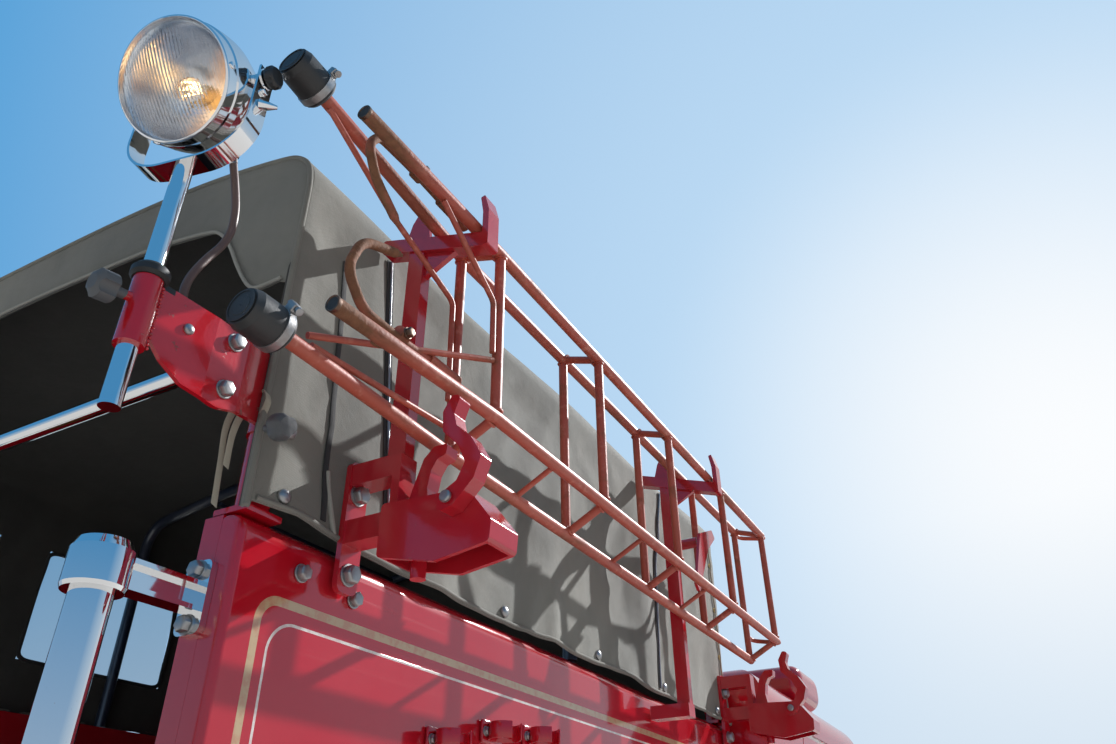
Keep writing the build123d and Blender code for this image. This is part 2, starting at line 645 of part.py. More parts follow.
def grabRails():
    rail = rod((-608, 2104, 880), (-608, 2104, 1400), 19.5)
    cap = Pos(-608, 2104, 1385) * turned([(0, 0), (27, 0), (28.5, 4), (28.5, 38), (24, 47), (10, 50), (0, 50)])
    foot = Pos(-608, 2104, 880) * turned([(0, -8), (22, -8), (26, 0), (26, 30), (0, 30)])
    solid = rail + cap + foot
    for z in (1408, 930):
        solid += block(-611, -605, 1996, 2090, z - 14, z + 14)
        solid += block(-620, -596, 1996, 2086, z + 10, z + 15) + block(-620, -596, 1996, 2086, z - 15, z - 10)
        flange = [(-628, z - 38), (-592, z - 38), (-592, z + 38), (-628, z + 38)]
        solid += plateAcross(flange, 1990.3, 1998, 8)
    y, z = 1925, 1778
    bar = rod((-612, y, z), (612, y, z), 14)
    end = rod((608, y, z), (615, y, z), 26) + block(612, 640, y - 18, 1948.7, z - 20, z + 20)
    return group([both(solid), bar + both(end)])


def tailLamps():
    body = turned([(0, 0), (38, 0), (40, 6), (40, 16), (34, 18), (30, 30), (0, 34)])
    return both(Pos(-612, 1990.6, 880) * Rot(-90, 0, 0) * body)


# Ladder
upperTip = (ladderInnerX, 2107, 1984.5)
lowerTip = (ladderInnerX, 2097, 1633.5)


def ladder():
    far, first = rungStations[-1] - 8, rungStations[0]
    members = []
    for z, (bend, end, endZ) in zip(outerRailZ, outerRailEnds):
        members.append(((ladderOuterX, far, z), (ladderOuterX, bend, z), railRadius))
        members.append(((ladderOuterX, bend, z), (ladderOuterX, end, endZ), railRadius))
    for z, tip in zip(innerRailZ, (lowerTip, upperTip)):
        members.append(((ladderInnerX, far, z), (ladderInnerX, first, z), railRadius))
        members.append(((ladderInnerX, first, z), tip, railRadius))
    for x, levels in ((ladderOuterX, outerRailZ), (ladderInnerX, innerRailZ)):
        for y in rungStations:
            members.append(((x, y, levels[0]), (x, y, levels[1]), rungRadius))
    for y in rungStations:
        for a, b in zip(outerRailZ, innerRailZ):
            members.append(((ladderOuterX, y, a), (ladderInnerX, y, b), 6.5))
    for y in (1621, 1304, 988):
        members.append(((ladderOuterX, y, outerRailZ[0]), (ladderInnerX, y, innerRailZ[0]), 4))
    members.append(((ladderInnerX, 2044, 1652), (ladderOuterX, 1791, 1742), 4))
    members.append(((ladderInnerX, 2037, 1643), (ladderInnerX, first, 1662), 4))
    pieces = coped(members)
    outerBrace = [(ladderOuterX - 1, 1921, 1915), (ladderOuterX - 1, 1796, 1834), (ladderOuterX - 1, 1794, 1752)]
    innerBrace = [(ladderInnerX - 1, 2074, 1973), (ladderInnerX - 1, 1940, 1905), (ladderInnerX - 1, 1796, 1858),
                  (ladderInnerX - 1, 1792, 1700)]
    pieces += [bentBar(outerBrace, 4, 14), bentBar(innerBrace, 4, [80, 14])]
    for z in outerRailZ:
        end = [(ladderOuterX, far - 0.5, z), (ladderOuterX, far - 34, z + 4), (ladderInnerX, far - 34, z + 18),
               (ladderInnerX, far - 0.5, z + 20)]
        pieces.append(bentBar(end, 5, 16))
    return pieces


def ladderHooks():
    # Two round-bar hooks with flattened tips, each with its shank in a clamped sleeve.
    upper = [(-791, 1880, 1964), (-791, 1950, 1966), (-791, 2016, 1962), (-791, 2033, 1934), (-791, 2013, 1892),
             (-791, 1972, 1862)]
    lower = [(-791, 1868, 1702), (-791, 1932, 1698), (-791, 2004, 1699), (-791, 2037, 1736), (-791, 2019, 1788),
             (-791, 1963, 1811)]
    pieces = []
    for route, z, bends in ((upper, 1964, [400, 22, 26, 60]), (lower, 1702, [400, 36, 32, 44])):
        hook = bentBar(route, 6, bends)
        end, before = Vector(*route[-1]), Vector(*route[-2])
        tip = loft([Plane(origin=end, z_dir=end - before) * Circle(6),
                    Plane(origin=end + (end - before).normalized() * 14, z_dir=end - before) * Circle(2)])
        collar = rod((-791, 1929, z + 3), (-791, 1943, z + 3), 10)
        sleeve = rod((-791, 1822, z), (-791, 1884, z), 9)
        pieces.append(hook + tip + collar + sleeve)
    return pieces


def ladderCaps():
    pieces = []
    for tip, base in ((upperTip, innerRailZ[1]), (lowerTip, innerRailZ[0])):
        axis = (Vector(*tip) - Vector(ladderInnerX, rungStations[0], base)).normalized()
        start = Vector(*tip) - axis * 20
        cap = turned([(0, 0), (20, 0), (23, 3), (24, 18), (23.3, 46), (20.5, 54), (0, 55)])
        cap -= Pos(0, 0, -1) * Cylinder(railRadius + 0.06, 51, align=(Align.CENTER, Align.CENTER, Align.MIN))
        pieces.append(Plane(origin=start, x_dir=(1, 0, 0), z_dir=axis).location * cap)
    return group(pieces)


# Ladder brackets and clamps
latchHinge = (-836, 1510)      # (x, z) of the latch's pin


def clampBox(y):
    # Folded channel that carries the ladder's lower rails, open below, with its curved inner horn.
    outer = [(-727, 1470), (-727, 1534), (-846, 1528), (-878, 1486), (-876, 1462), (-806, 1452)]
    inner = [(-734, 1400), (-734, 1527), (-842, 1521), (-870, 1484), (-870, 1400)]
    box = plateAcross(outer, y - 28, y + 28, 6) - plateAcross(inner, y - 22, y + 22)
    horn = [(-736, 1532), (-744, 1560), (-758, 1598), (-772, 1611), (-792, 1611), (-790, 1597), (-778, 1593), (-770, 1580),
            (-766, 1558), (-770, 1532)]
    box += plateAcross(horn, y - 26, y - 4, 3)
    box += rod((-766, y, 1446), (-766, y, 1522), 9)
    for z0, z1 in ((1576, 1604), (1502, 1531)):
        box += plateAcross([(-736, z0), (-656.6, z0), (-656.6, z1), (-736, z1)], y - 15, y + 15, 3)
    box += block(-739, -727, y - 15, y + 15, 1503, 1603)
    flange = [(y - 17, 1446), (y + 17, 1446), (y + 17, 1610), (y - 17, 1610)]
    box += plateAlong(flange, -664, -656.4, 10)
    return box + rod((latchHinge[0], y + 24, latchHinge[1]), (latchHinge[0], y + 53, latchHinge[1]), 5)


def upperArm(y, postLow):
    # Post and sloping arm under the upper rails, with an upright horn outboard, a tooth between the rails and a gusset.
    arm = plateAcross([(-842, 1889), (-664, 1946), (-664, 1970.3), (-842, 1912.7)], y - 12, y + 12, 3)
    horn = plateAcross([(-848, 1890), (-848, 1952), (-841, 1980), (-834, 1978), (-838.5, 1950), (-838.5, 1890)],
                       y - 13, y + 13, 2)
    post = block(-738, -712, y - 9, y + 9, postLow, 1938)
    gusset = plateAcross([(-735, 1932), (-735, 1878), (-792, 1908)], y - 4, y + 4)
    tooth = plateAcross([(-742, 1940), (-698, 1954), (-708, 1990), (-718, 2006), (-733, 2004), (-738, 1985)], y - 3, y + 3, 3)
    return arm + horn + post + gusset + tooth


def ladderBrackets():
    rear = clampBox(rearBracket)
    rearPost = upperArm(rearBracket, 1604.3)
    farPost = upperArm(frontArm, 1466)
    farPost += block(-738, -656.6, frontArm - 16, frontArm + 16, 1442, 1467)
    farPost += rod((-738, frontArm, 1790), (-785, frontArm, 1790), 11)
    lever = plateAlong([(828, 1820), (846, 1834), (928, 1800), (982, 1676), (967, 1662), (886, 1776)], -800, -794, 5)
    return group([rear, rearPost, clampBox(frontClamp), farPost, lever])


def latch(y):
    # Hinged outer horn of a lower clamp: an S-curved plate that swings in its own plane.
    points = [(-822, 1496), (-842, 1500), (-868, 1526), (-877, 1552), (-862, 1578), (-842, 1597), (-838, 1613),
              (-846, 1635), (-834, 1638), (-822, 1619), (-824, 1593), (-846, 1570), (-856, 1548), (-846, 1528),
              (-824, 1516)]
    plate = plateAcross(points, y + 28.5, y + 50, 5)
    return plate - rod((latchHinge[0], y + 20, latchHinge[1]), (latchHinge[0], y + 60, latchHinge[1]), 5.15)


# Searchlight
heading = math.radians(lampHeading)
tilt = math.radians(lampTilt)
lampAxis = Vector(-math.sin(heading) * math.cos(tilt), math.cos(heading) * math.cos(tilt), -math.sin(tilt))
pivotAxis = Vector(math.cos(heading), math.sin(heading), 0)
lampFrame = Plane(origin=lampPivot, x_dir=pivotAxis, z_dir=lampAxis)
yokeFrame = Plane(origin=lampPivot, x_dir=pivotAxis, z_dir=(math.sin(heading), -math.cos(heading), 0))
yokeDrop = 118
cableRoute = [(-666.8, 2119.4, 1882.4), (-666, 2109, 1856), (-664, 2097, 1820), (-660, 2096, 1783), (-655, 2116, 1741),
              (-650, 2126, 1707), (-647, 2121, 1680), (-645, 2118, 1655)]
cableRadius = 4.75


def searchlightBracket():
    # Folded plate from the corner post to the mast's socket, with its rubber collar, clamp knob and cable gland.
    plan = [(-641, 1974), (-662, 2038), (-665, 2085), (-662, 2158), (-657, 2158), (-659.3, 2085), (-656.3, 2038),
            (-634.5, 1973.6)]
    side = [(1972, 1640), (1985, 1634), (1985, 1602), (2036, 1590), (2064, 1581), (2110, 1585), (2137, 1599),
            (2160, 1620), (2160, 1681), (2036, 1681), (1985, 1692), (1972, 1692)]
    plate = plateFlat(plan, 1570, 1700) & plateAlong(side, -680, -620, [3, 3, 1, 8, 30, 12, 12, 3, 3, 20, 20, 3])
    low, high, top = (poleX, poleY, 1596), (poleX, poleY, 1675), (poleX, poleY, 1689)
    socket = pipe(low, high, 14.5, 10.05)
    collar = Pos(poleX, poleY, 1675) * turned([(10.3, -0.5), (16, -0.5), (19, 3), (19, 10), (16, 14), (10.3, 14)])
    knob = clampKnob((poleX, poleY + 13, 1646), (0, 0.985, -0.17), 15)
    x, y, z = cableRoute[-1]
    gland = rod((x, y, z - gap), (x, y - 2, z - 26), 7.5) + block(-659.6, x, y - 7, y + 5, z - 26, z - 8)
    return plate + socket + collar + knob + gland


def mast():
    # Pole with its yoke, a bent strap whose ends hold the lamp's pivots, one by a hand wheel.
    w, d, t = yokeHalf, yokeDrop, 3
    strap = [(-w, 13), (-w, -d), (w, -d), (w, 13), (w - t, 13), (w - t, t - d), (t - w, t - d), (t - w, 13)]
    face = outline(strap, [1.2, 56, 56, 1.2, 1.2, 53, 53, 1.2])
    yoke = extrude(face, amount=12.5, both=True)
    knob = turned([(0, 0), (4, 0), (4, 3), (12, 4), (13.5, 7), (13.5, 12), (11, 15), (0, 15)])
    for place in PolarLocations(16.5, 6):
        knob -= Pos(0, 0, 10) * place * Cylinder(4.6, 16)
    yoke += Pos(-w, 0, 0) * Rot(0, -90, 0) * knob
    yoke += Pos(w, 0, 0) * Rot(0, 90, 0) * turned([(0, 0), (9, 0), (9, 4), (5, 7), (0, 7)])
    yoke += Pos(-w + 1, -42, 0) * Rot(0, -60, 0) * turned([(0, 0), (7, 0), (5, 10), (2, 20), (0, 20)])
    pole = rod((poleX, poleY, poleLow), (poleX, poleY, lampPivot[2] - yokeDrop + 1), 10)
    return pole + yokeFrame.location * yoke


def lamp():
    # Bullet housing with a stepped rim, open in front round its reflector, two pivot bosses and the cable's gland.
    shell = make_face([
        Spline((0, -62), (30, -53), (54, -30), (67, 0), (73, 32), tangents=((1, 0), (0.03, 1))),
        Line((73, 32), (73, 43)),
        Line((73, 43), (71.6, 45)),
        Line((71.6, 45), (71.6, 58)),
        ThreePointArc((71.6, 58), (70.9, 60.4), (68.9, 61)),
        Line((68.9, 61), (66.5, 52)),
        Spline((66.5, 52), (50, 12), (0, -14), tangents=((-0.2, -1), (-1, 0))),
        Line((0, -14), (0, -62))])
    body = revolve(Plane.XZ * shell, axis=Axis.Z)
    for x in (-1, 1):
        body += rod((x * 58, 0, 0), (x * (yokeHalf - 3.4), 0, 0), 9)
    body = lampFrame.location * body
    start = Vector(*cableRoute[0])
    way = (start - Vector(*cableRoute[1])).normalized()
    gland = rod(start - way * 4, start + way * 36, cableRadius)
    return body + gland.solids()[0].intersect(Pos(*lampPivot) * Sphere(cableReach - 0.4))


def lampGlass():
    rim, rise, seat = 68.6, 10, 60
    radius = (rim * rim + rise * rise) / (2 * rise)
    middle = (rim / 2, seat + rise - radius + math.sqrt(radius * radius - rim * rim / 4))
    dome = make_face([Line((0, 54), (66.9, 54)), Line((66.9, 54), (rim, seat)),
                      ThreePointArc((rim, seat), middle, (0, seat + rise)), Line((0, seat + rise), (0, 54))])
    return lampFrame.location * revolve(Plane.XZ * dome, axis=Axis.Z)


def cable():
    points = [Vector(*p) for p in cableRoute]
    runs = [(b - a).length for a, b in zip(points, points[1:])]
    turns = [(b - a).get_angle(c - b) for a, b, c in zip(points, points[1:], points[2:])]
    bends = [0.45 * min(pair) / math.tan(math.radians(turn) / 2) for pair, turn in zip(zip(runs, runs[1:]), turns)]
    print("cable radii", [round(bend) for bend in bends], "runs", [round(run, 1) for run in runs])
    return bentBar(cableRoute, cableRadius, bends) - Pos(*lampPivot) * Sphere(cableReach)


# Left-hand side: two suction hoses in their cradles
hosePlaces = [(712, 1450), (812, 1450)]
cradleSpots = (rearBracket, 570)


def hoseRack():
    pieces = []
    for y in cradleSpots:
        arm = plateAcross([(656.5, 1376), (876, 1390), (876, 1452), (656.5, 1452)], y - 14, y + 14, 5)
        for x, z in hosePlaces:
            arm -= Pos(x, y, z) * Rot(90, 0, 0) * Cylinder(43.5, 60)
        back = plateAlong([(y - 22, 1356), (y + 22, 1356), (y + 22, 1494), (y - 22, 1494)], 656.4, 661, 8)
        pieces.append(arm + back)
    return group(pieces)


def suctionHoses():
    half = 720
    ends = []
    for s in (-1, 1):
        ends.append([(0, s * half), (43, s * half), (48, s * (half + 6)), (48, s * (half + 26)), (43, s * (half + 34)),
                     (43, s * (half + 70)), (50, s * (half + 76)), (50, s * (half + 96)), (0, s * (half + 96))])
    tube = [(0, -half), (42, -half), (42, half), (0, half)]
    hose = turned(tube) + turned(ends[0]) + turned(ends[1])
    return group([Pos(x, 1212, z) * Rot(90, 0, 0) * hose for x, z in hosePlaces])


crewUp = Pos(0, 0, crewDatum)
nodes = {
    "chassis_frame": chassisFrame(),
    "springs": springs(),
    "front_axle": frontAxleBeam(),
    "rear_axle": rearAxleBeam(),
    "driveline": driveline(),
    "engine": engine(),
    "grille": grille(),
    "bonnet": bonnet(),
    "bonnet_sides": bonnetSides(),
    "bumper": bumper(),
    "headlamps": headlamps(),
    "headlamp_glass": headlampGlass(),
    "cab": group(cabShell()),
    "cab_glass": cabGlass(),
    "dashboard": dashboard(),
    "steering_wheel": steeringWheel(),
    "cab_seat_cushion": cabSeat(),
    "cab_seat_back": cabSeatBack(),
    "roof_locker": roofLocker(),
    "crew_body": crewUp * crewBody(),
    "bench_cushions": crewUp * both(benchCushion()),
    "canopy_bows": crewUp * canopyBows(),
    "canopy": crewUp * canopy(),
    "grab_rails": crewUp * grabRails(),
    "tail_lamps": tailLamps(),
    "ladder": crewUp * group(ladder() + ladderHooks()),
    "ladder_caps": crewUp * ladderCaps(),
    "ladder_brackets": crewUp * ladderBrackets(),
    "latch_rear": crewUp * latch(rearBracket),
    "latch_front": crewUp * latch(frontClamp),
    "hose_rack": crewUp * hoseRack(),
    "suction_hoses": crewUp * suctionHoses(),
    "searchlight_bracket": crewUp * searchlightBracket(),
    "searchlight_mast": crewUp * mast(),
    "searchlight": crewUp * lamp(),
    "searchlight_glass": crewUp * lampGlass(),
    "searchlight_cable": crewUp * cable(),
    "front_wings": frontWings(),
    "rear_wings": rearWings(),
    "steps": steps(),
}
for side, hand in ((1, "left"), (-1, "right")):
    nodes["knuckle_" + hand] = knuckle(side)
    nodes["door_" + hand] = door(side)
    nodes["door_glass_" + hand] = doorGlass(side)
    for place, x, y in (("front", frontTrackHalf, frontAxle), ("rear", rearTrackHalf, rearAxle)):
        nodes["wheel_" + place + "_" + hand] = group([wheel(side, side * x, y), tyre(side * x, y)])

os.makedirs("parts", exist_ok=True)
for name, solid in nodes.items():
    export_step(solid, "parts/" + name + ".step")
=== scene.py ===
import bpy
import bmesh
import json
import math
from mathutils import Vector, Matrix, noise

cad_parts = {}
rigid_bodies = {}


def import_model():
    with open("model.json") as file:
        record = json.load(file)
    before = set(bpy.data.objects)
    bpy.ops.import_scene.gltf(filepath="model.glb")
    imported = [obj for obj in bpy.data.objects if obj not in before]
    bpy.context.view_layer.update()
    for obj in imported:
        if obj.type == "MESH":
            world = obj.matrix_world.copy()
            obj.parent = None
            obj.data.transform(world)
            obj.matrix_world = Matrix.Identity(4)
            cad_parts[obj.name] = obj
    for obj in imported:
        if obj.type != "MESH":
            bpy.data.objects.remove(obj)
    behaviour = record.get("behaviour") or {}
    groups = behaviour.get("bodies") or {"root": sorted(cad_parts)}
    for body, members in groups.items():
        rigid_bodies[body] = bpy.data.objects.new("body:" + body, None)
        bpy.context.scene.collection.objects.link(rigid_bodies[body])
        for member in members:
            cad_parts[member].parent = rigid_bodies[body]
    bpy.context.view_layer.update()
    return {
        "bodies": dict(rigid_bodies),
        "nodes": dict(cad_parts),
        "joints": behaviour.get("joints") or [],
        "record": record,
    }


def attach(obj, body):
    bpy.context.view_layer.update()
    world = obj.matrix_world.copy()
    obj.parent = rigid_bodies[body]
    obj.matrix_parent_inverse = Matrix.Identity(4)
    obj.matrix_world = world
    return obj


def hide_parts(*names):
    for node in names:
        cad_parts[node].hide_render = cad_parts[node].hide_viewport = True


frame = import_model()
nodes = frame["nodes"]
print("frame loaded")

lampPivot = Vector((-0.660, 2.171, 2.050))
lampHeading, lampTilt = math.radians(11.8), math.radians(30.5)
lampAxis = Vector((-math.sin(lampHeading) * math.cos(lampTilt), math.cos(lampHeading) * math.cos(lampTilt),
                   -math.sin(lampTilt)))
lampAcross = Vector((math.cos(lampHeading), math.sin(lampHeading), 0))
lampFrameAxes = Matrix((lampAcross, lampAxis.cross(lampAcross), lampAxis)).transposed()


# Camera at the photograph's own place, low behind the right rear corner
view = {"place": (-1.330, 2.561, 1.246), "heading": 27.956, "pitch": 32.16, "roll": -0.784, "lens": 27.0}


def makeCamera(v):
    data = bpy.data.cameras.new("camera")
    data.lens = v["lens"]
    data.sensor_width = 36
    data.clip_start = 0.05
    camera = bpy.data.objects.new("camera", data)
    bpy.context.collection.objects.link(camera)
    heading, pitch = math.radians(v["heading"]), math.radians(v["pitch"])
    level = math.cos(pitch)
    look = Vector((math.sin(heading) * level, -math.cos(heading) * level, math.sin(pitch)))
    right = look.cross(Vector((0, 0, 1))).normalized()
    up = right.cross(look)
    turn = Matrix((right, up, -look)).transposed()
    roll = Matrix.Rotation(math.radians(v["roll"]), 3, "Z")
    camera.matrix_world = Matrix.Translation(v["place"]) @ (turn @ roll).to_4x4()
    bpy.context.scene.camera = camera


makeCamera(view)
print("camera")


# Shader sums: a wire is one socket, and sums on wires add Math nodes
class Wire:
    def __init__(self, finish, socket):
        self.finish, self.socket = finish, socket

    def maths(self, operation, *others, clamp=False):
        settings = {"operation": operation, "use_clamp": clamp}
        return self.finish.add("ShaderNodeMath", settings, [self, *others])

    def __add__(self, other):
        return self.maths("ADD", other)

    def __sub__(self, other):
        return self.maths("SUBTRACT", other)

    def __mul__(self, other):
        return self.maths("MULTIPLY", other)

    def __rsub__(self, other):
        return self.maths("MULTIPLY", -1).maths("ADD", other)

    def __lt__(self, other):
        return self.maths("LESS_THAN", other)

    def __gt__(self, other):
        return self.maths("GREATER_THAN", other)

    __radd__ = __add__
    __rmul__ = __mul__

    def abs(self):
        return self.maths("ABSOLUTE")

    def above(self, other):
        return self.maths("MAXIMUM", other)

    def below(self, other):
        return self.maths("MINIMUM", other)

    def between(self, low, high):
        return (self > low) * (self < high)

    def step(self, low, high):
        # 0 under low, 1 over high
        return ((self - low) * (1 / (high - low))).maths("ADD", 0, clamp=True)


def root(a, b):
    return (a * a + b * b).maths("SQRT")


class Finish:
    def __init__(self, name):
        self.material = bpy.data.materials.new(name)
        self.material.use_nodes = True
        self.tree = self.material.node_tree
        self.tree.nodes.clear()
        self.place = self.add("ShaderNodeTexCoord", output="Object")

    def add(self, kind, settings=(), inputs=(), output=0):
        node = self.tree.nodes.new(kind)
        for key, value in dict(settings).items():
            setattr(node, key, value)
        pairs = inputs.items() if isinstance(inputs, dict) else enumerate(inputs)
        for key, value in pairs:
            if isinstance(value, Wire):
                self.tree.links.new(value.socket, node.inputs[key])
            else:
                node.inputs[key].default_value = value
        return Wire(self, node.outputs[output]) if len(node.outputs) else None

    def axes(self):
        split = self.add("ShaderNodeSeparateXYZ", (), [self.place])
        return [Wire(self, split.socket.node.outputs[k]) for k in range(3)]

    def cloud(self, scale, detail=3, stretch=(1, 1, 1)):
        spot = self.add("ShaderNodeMapping", (), {"Vector": self.place, "Scale": stretch})
        return self.add("ShaderNodeTexNoise", {"noise_dimensions": "3D"},
                        {"Vector": spot, "Scale": scale, "Detail": detail, "Roughness": 0.55})

    def blend(self, factor, first, second):
        return self.add("ShaderNodeMix", {"data_type": "RGBA"}, {0: factor, 6: first, 7: second}, output=2)

    def bump(self, height, depth, strength):
        return self.add("ShaderNodeBump", (), {"Height": height, "Distance": depth, "Strength": strength})

    def surface(self, **values):
        # Names of the shader's own sockets, with _ for a space
        inputs = {key.replace("_", " "): value for key, value in values.items()}
        return self.add("ShaderNodeBsdfPrincipled", (), inputs)

    def done(self, shader):
        self.add("ShaderNodeOutputMaterial", (), [shader])
        return self.material


def grey(value):
    return (value, value, value, 1)


def tint(red, green, blue):
    return (red, green, blue, 1)


# Finishes
def paintFinish(name, colour, dusty=0.15, gloss=0.12, worn=0.0):
    f = Finish(name)
    dust = f.cloud(4, 6).step(0.42, 0.75) * dusty
    shade = f.blend(f.cloud(2.2, 2).step(0.3, 0.7), colour, [c * 0.86 for c in colour[:3]] + [1])
    pale = [0.6 * c + 0.4 * 0.55 for c in colour[:3]] + [1]
    base = f.blend(dust, shade, pale)
    chip = f.cloud(46, 5).step(0.70, 0.72) * worn
    base = f.blend(chip, base, tint(0.22, 0.10, 0.06))
    rough = f.cloud(24, 4) * 0.12 + (gloss - 0.05) + dust * 0.5 + chip * 0.4
    peel = f.bump(f.cloud(240, 1), 0.0004, 0.25)
    return f.done(f.surface(Base_Color=base, Roughness=rough, Normal=peel, Coat_Weight=0.6,
                            Coat_Roughness=0.06))


stripes = {"gold": (1.9465, 1.5175, 0.005), "white": (1.928, 1.4975, 0.0016), "front": 0.452, "base": 0.862,
           "goldCorner": 0.026, "whiteCorner": 0.034}


def bodyFinish(v):
    # Red panels with a gold and a white line round each side, and a ribbed mat on the floor
    f = Finish("crew body red")
    x, y, z = f.axes()
    outside = (x.abs() > 0.6492)
    lines = []
    for kind in ("gold", "white"):
        rear, top, half = v[kind]
        corner = v[kind + "Corner"]
        inset = v["gold"][0] - rear
        front, base = v["front"] + inset, v["base"] + inset
        dy = ((y - (rear + front) / 2).abs() - ((rear - front) / 2 - corner)).above(0)
        dz = ((z - (top + base) / 2).abs() - ((top - base) / 2 - corner)).above(0)
        away = (root(dy, dz) - corner).abs()
        inner = ((y - (rear + front) / 2).abs() - (rear - front) / 2).above((z - (top + base) / 2).abs()
                                                                        - (top - base) / 2).abs()
        lines.append((away.below(9) < half) * (inner < half + corner) * outside)
    dust = f.cloud(4, 6).step(0.42, 0.75) * 0.12
    red = tint(0.50, 0.006, 0.018)
    base = f.blend(f.cloud(2.2, 2).step(0.3, 0.7), red, tint(0.42, 0.005, 0.014))
    base = f.blend(dust, base, tint(0.55, 0.20, 0.20))
    worn = f.cloud(90, 3).step(0.38, 0.55)
    base = f.blend(lines[0] * (0.72 + worn * 0.28), base, tint(0.55, 0.40, 0.24))
    base = f.blend(lines[1] * (0.75 + worn * 0.25), base, tint(0.80, 0.76, 0.72))
    mat = (x.abs() < 0.62) * z.between(0.8285, 0.8315)
    bench = (x.abs() > 0.27) * (x.abs() < 0.6205) * z.between(1.2505, 1.35)
    base = f.blend(mat, base, tint(0.03, 0.03, 0.032))
    base = f.blend(bench, base, tint(0.20, 0.09, 0.035))
    scratch = f.cloud(7, 7, stretch=(1, 0.12, 9)).step(0.60, 0.66)
    rough = f.cloud(24, 4) * 0.10 + 0.06 + dust * 0.5 + mat * 0.5 + scratch * 0.12
    rib = f.add("ShaderNodeTexWave", {"bands_direction": "X"}, {"Vector": f.place, "Scale": 22.0})
    peel = f.bump(f.cloud(240, 1) * 0.3 + rib * mat * 4 + lines[0] + lines[1], 0.0005, 0.3)
    return f.done(f.surface(Base_Color=base, Roughness=rough, Normal=peel, Coat_Weight=0.8,
                            Coat_Roughness=0.04))


def chromeFinish(name, black=None):
    # Bright plate with faint smears; black(f) may mask a part that is black plastic
    f = Finish(name)
    smear = f.cloud(14, 6, stretch=(1, 1, 0.4)).step(0.4, 0.8)
    pit = f.cloud(320, 2).step(0.72, 0.78)
    mask = black(f) if black else smear * 0
    base = f.blend(pit * 0.5, grey(0.82), tint(0.45, 0.38, 0.30))
    base = f.blend(mask, base, grey(0.018))
    rough = smear * 0.10 + 0.045 + mask * 0.35 + pit * 0.2
    return f.done(f.surface(Base_Color=base, Metallic=1 - mask, Roughness=rough,
                            Normal=f.bump(f.cloud(9, 2), 0.0012, 0.10)))


def steelFinish(name, colour=grey(0.42), rusty=0.3):
    f = Finish(name)
    rust = f.cloud(60, 6).step(0.5, 0.72) * rusty
    base = f.blend(rust, colour, tint(0.17, 0.07, 0.03))
    rough = f.cloud(130, 3) * 0.2 + 0.28 + rust * 0.4
    return f.done(f.surface(Base_Color=base, Metallic=(1 - rust) * 0.9, Roughness=rough,
                            Normal=f.bump(f.cloud(300, 4), 0.0006, 0.4)))


def ladderFinish():
    # Brushed-on salmon red, rusted through at the rear ends and on the hooks
    f = Finish("ladder paint")
    x, y, z = f.axes()
    end = y.step(1.93, 2.06) * (x < -0.80)
    hooks = x.between(-0.802, -0.780) * (y > 1.815)
    streak = f.cloud(22, 7, stretch=(1, 0.25, 1))
    rust = (streak.step(0.56, 0.66) * 0.55 + (end + hooks).below(1) * streak.step(0.36, 0.52)).below(1)
    base = f.blend(f.cloud(5, 4).step(0.35, 0.7), tint(0.47, 0.105, 0.065), tint(0.36, 0.065, 0.04))
    base = f.blend(f.cloud(75, 4).step(0.55, 0.7) * 0.5, base, tint(0.60, 0.24, 0.17))
    base = f.blend(rust, base, f.blend(f.cloud(110, 5), tint(0.09, 0.035, 0.018), tint(0.28, 0.12, 0.055)))
    rough = 0.38 + rust * 0.38 + f.cloud(60, 3) * 0.12
    height = f.cloud(180, 6) * (0.25 + rust)
    return f.done(f.surface(Base_Color=base, Roughness=rough, Normal=f.bump(height, 0.0016, 0.7)))


def canvasFinish(name, colour=tint(0.145, 0.148, 0.132), pale=tint(0.34, 0.325, 0.275)):
    # Proofed duck: a plain weave, with paler dusty stains and darker rubbed patches
    f = Finish(name)
    x, y, z = f.axes()
    warp = ((y + z * 0.02) * 2600).maths("SINE")
    weft = ((z + x * 0.9) * 2600).maths("SINE")
    weave = warp * weft
    stain = f.cloud(3.2, 7, stretch=(1, 1, 0.5)).step(0.40, 0.74)
    rub = f.cloud(9, 6).step(0.50, 0.78)
    base = f.blend(stain * 0.55, colour, pale)
    base = f.blend(rub * 0.35, base, [c * 0.6 for c in colour[:3]] + [1])
    base = f.blend(weave.step(-1, 1) * 0.16, base, pale)
    rough = 0.80 + f.cloud(40, 3) * 0.12
    height = weave * 0.22 + f.cloud(26, 6) * 2.2
    return f.done(f.surface(Base_Color=base, Roughness=rough, Sheen_Weight=0.15,
                            Normal=f.bump(height, 0.0012, 0.55)))


def rubberFinish(name, colour=grey(0.022), rough=0.5, grain=260):
    f = Finish(name)
    bloom = f.cloud(8, 5).step(0.45, 0.8)
    base = f.blend(bloom * 0.35, colour, [c * 1.6 + 0.035 for c in colour[:3]] + [1])
    return f.done(f.surface(Base_Color=base, Roughness=f.cloud(30, 3) * 0.15 + rough - 0.07,
                            Normal=f.bump(f.cloud(grain, 3), 0.0005, 0.4)))


wheels = {"front": (0.690, -1.560), "rear": (0.735, 1.190), "height": 0.352, "nuts": 5, "nutCircle": 0.097,
          "face": 0.0366}


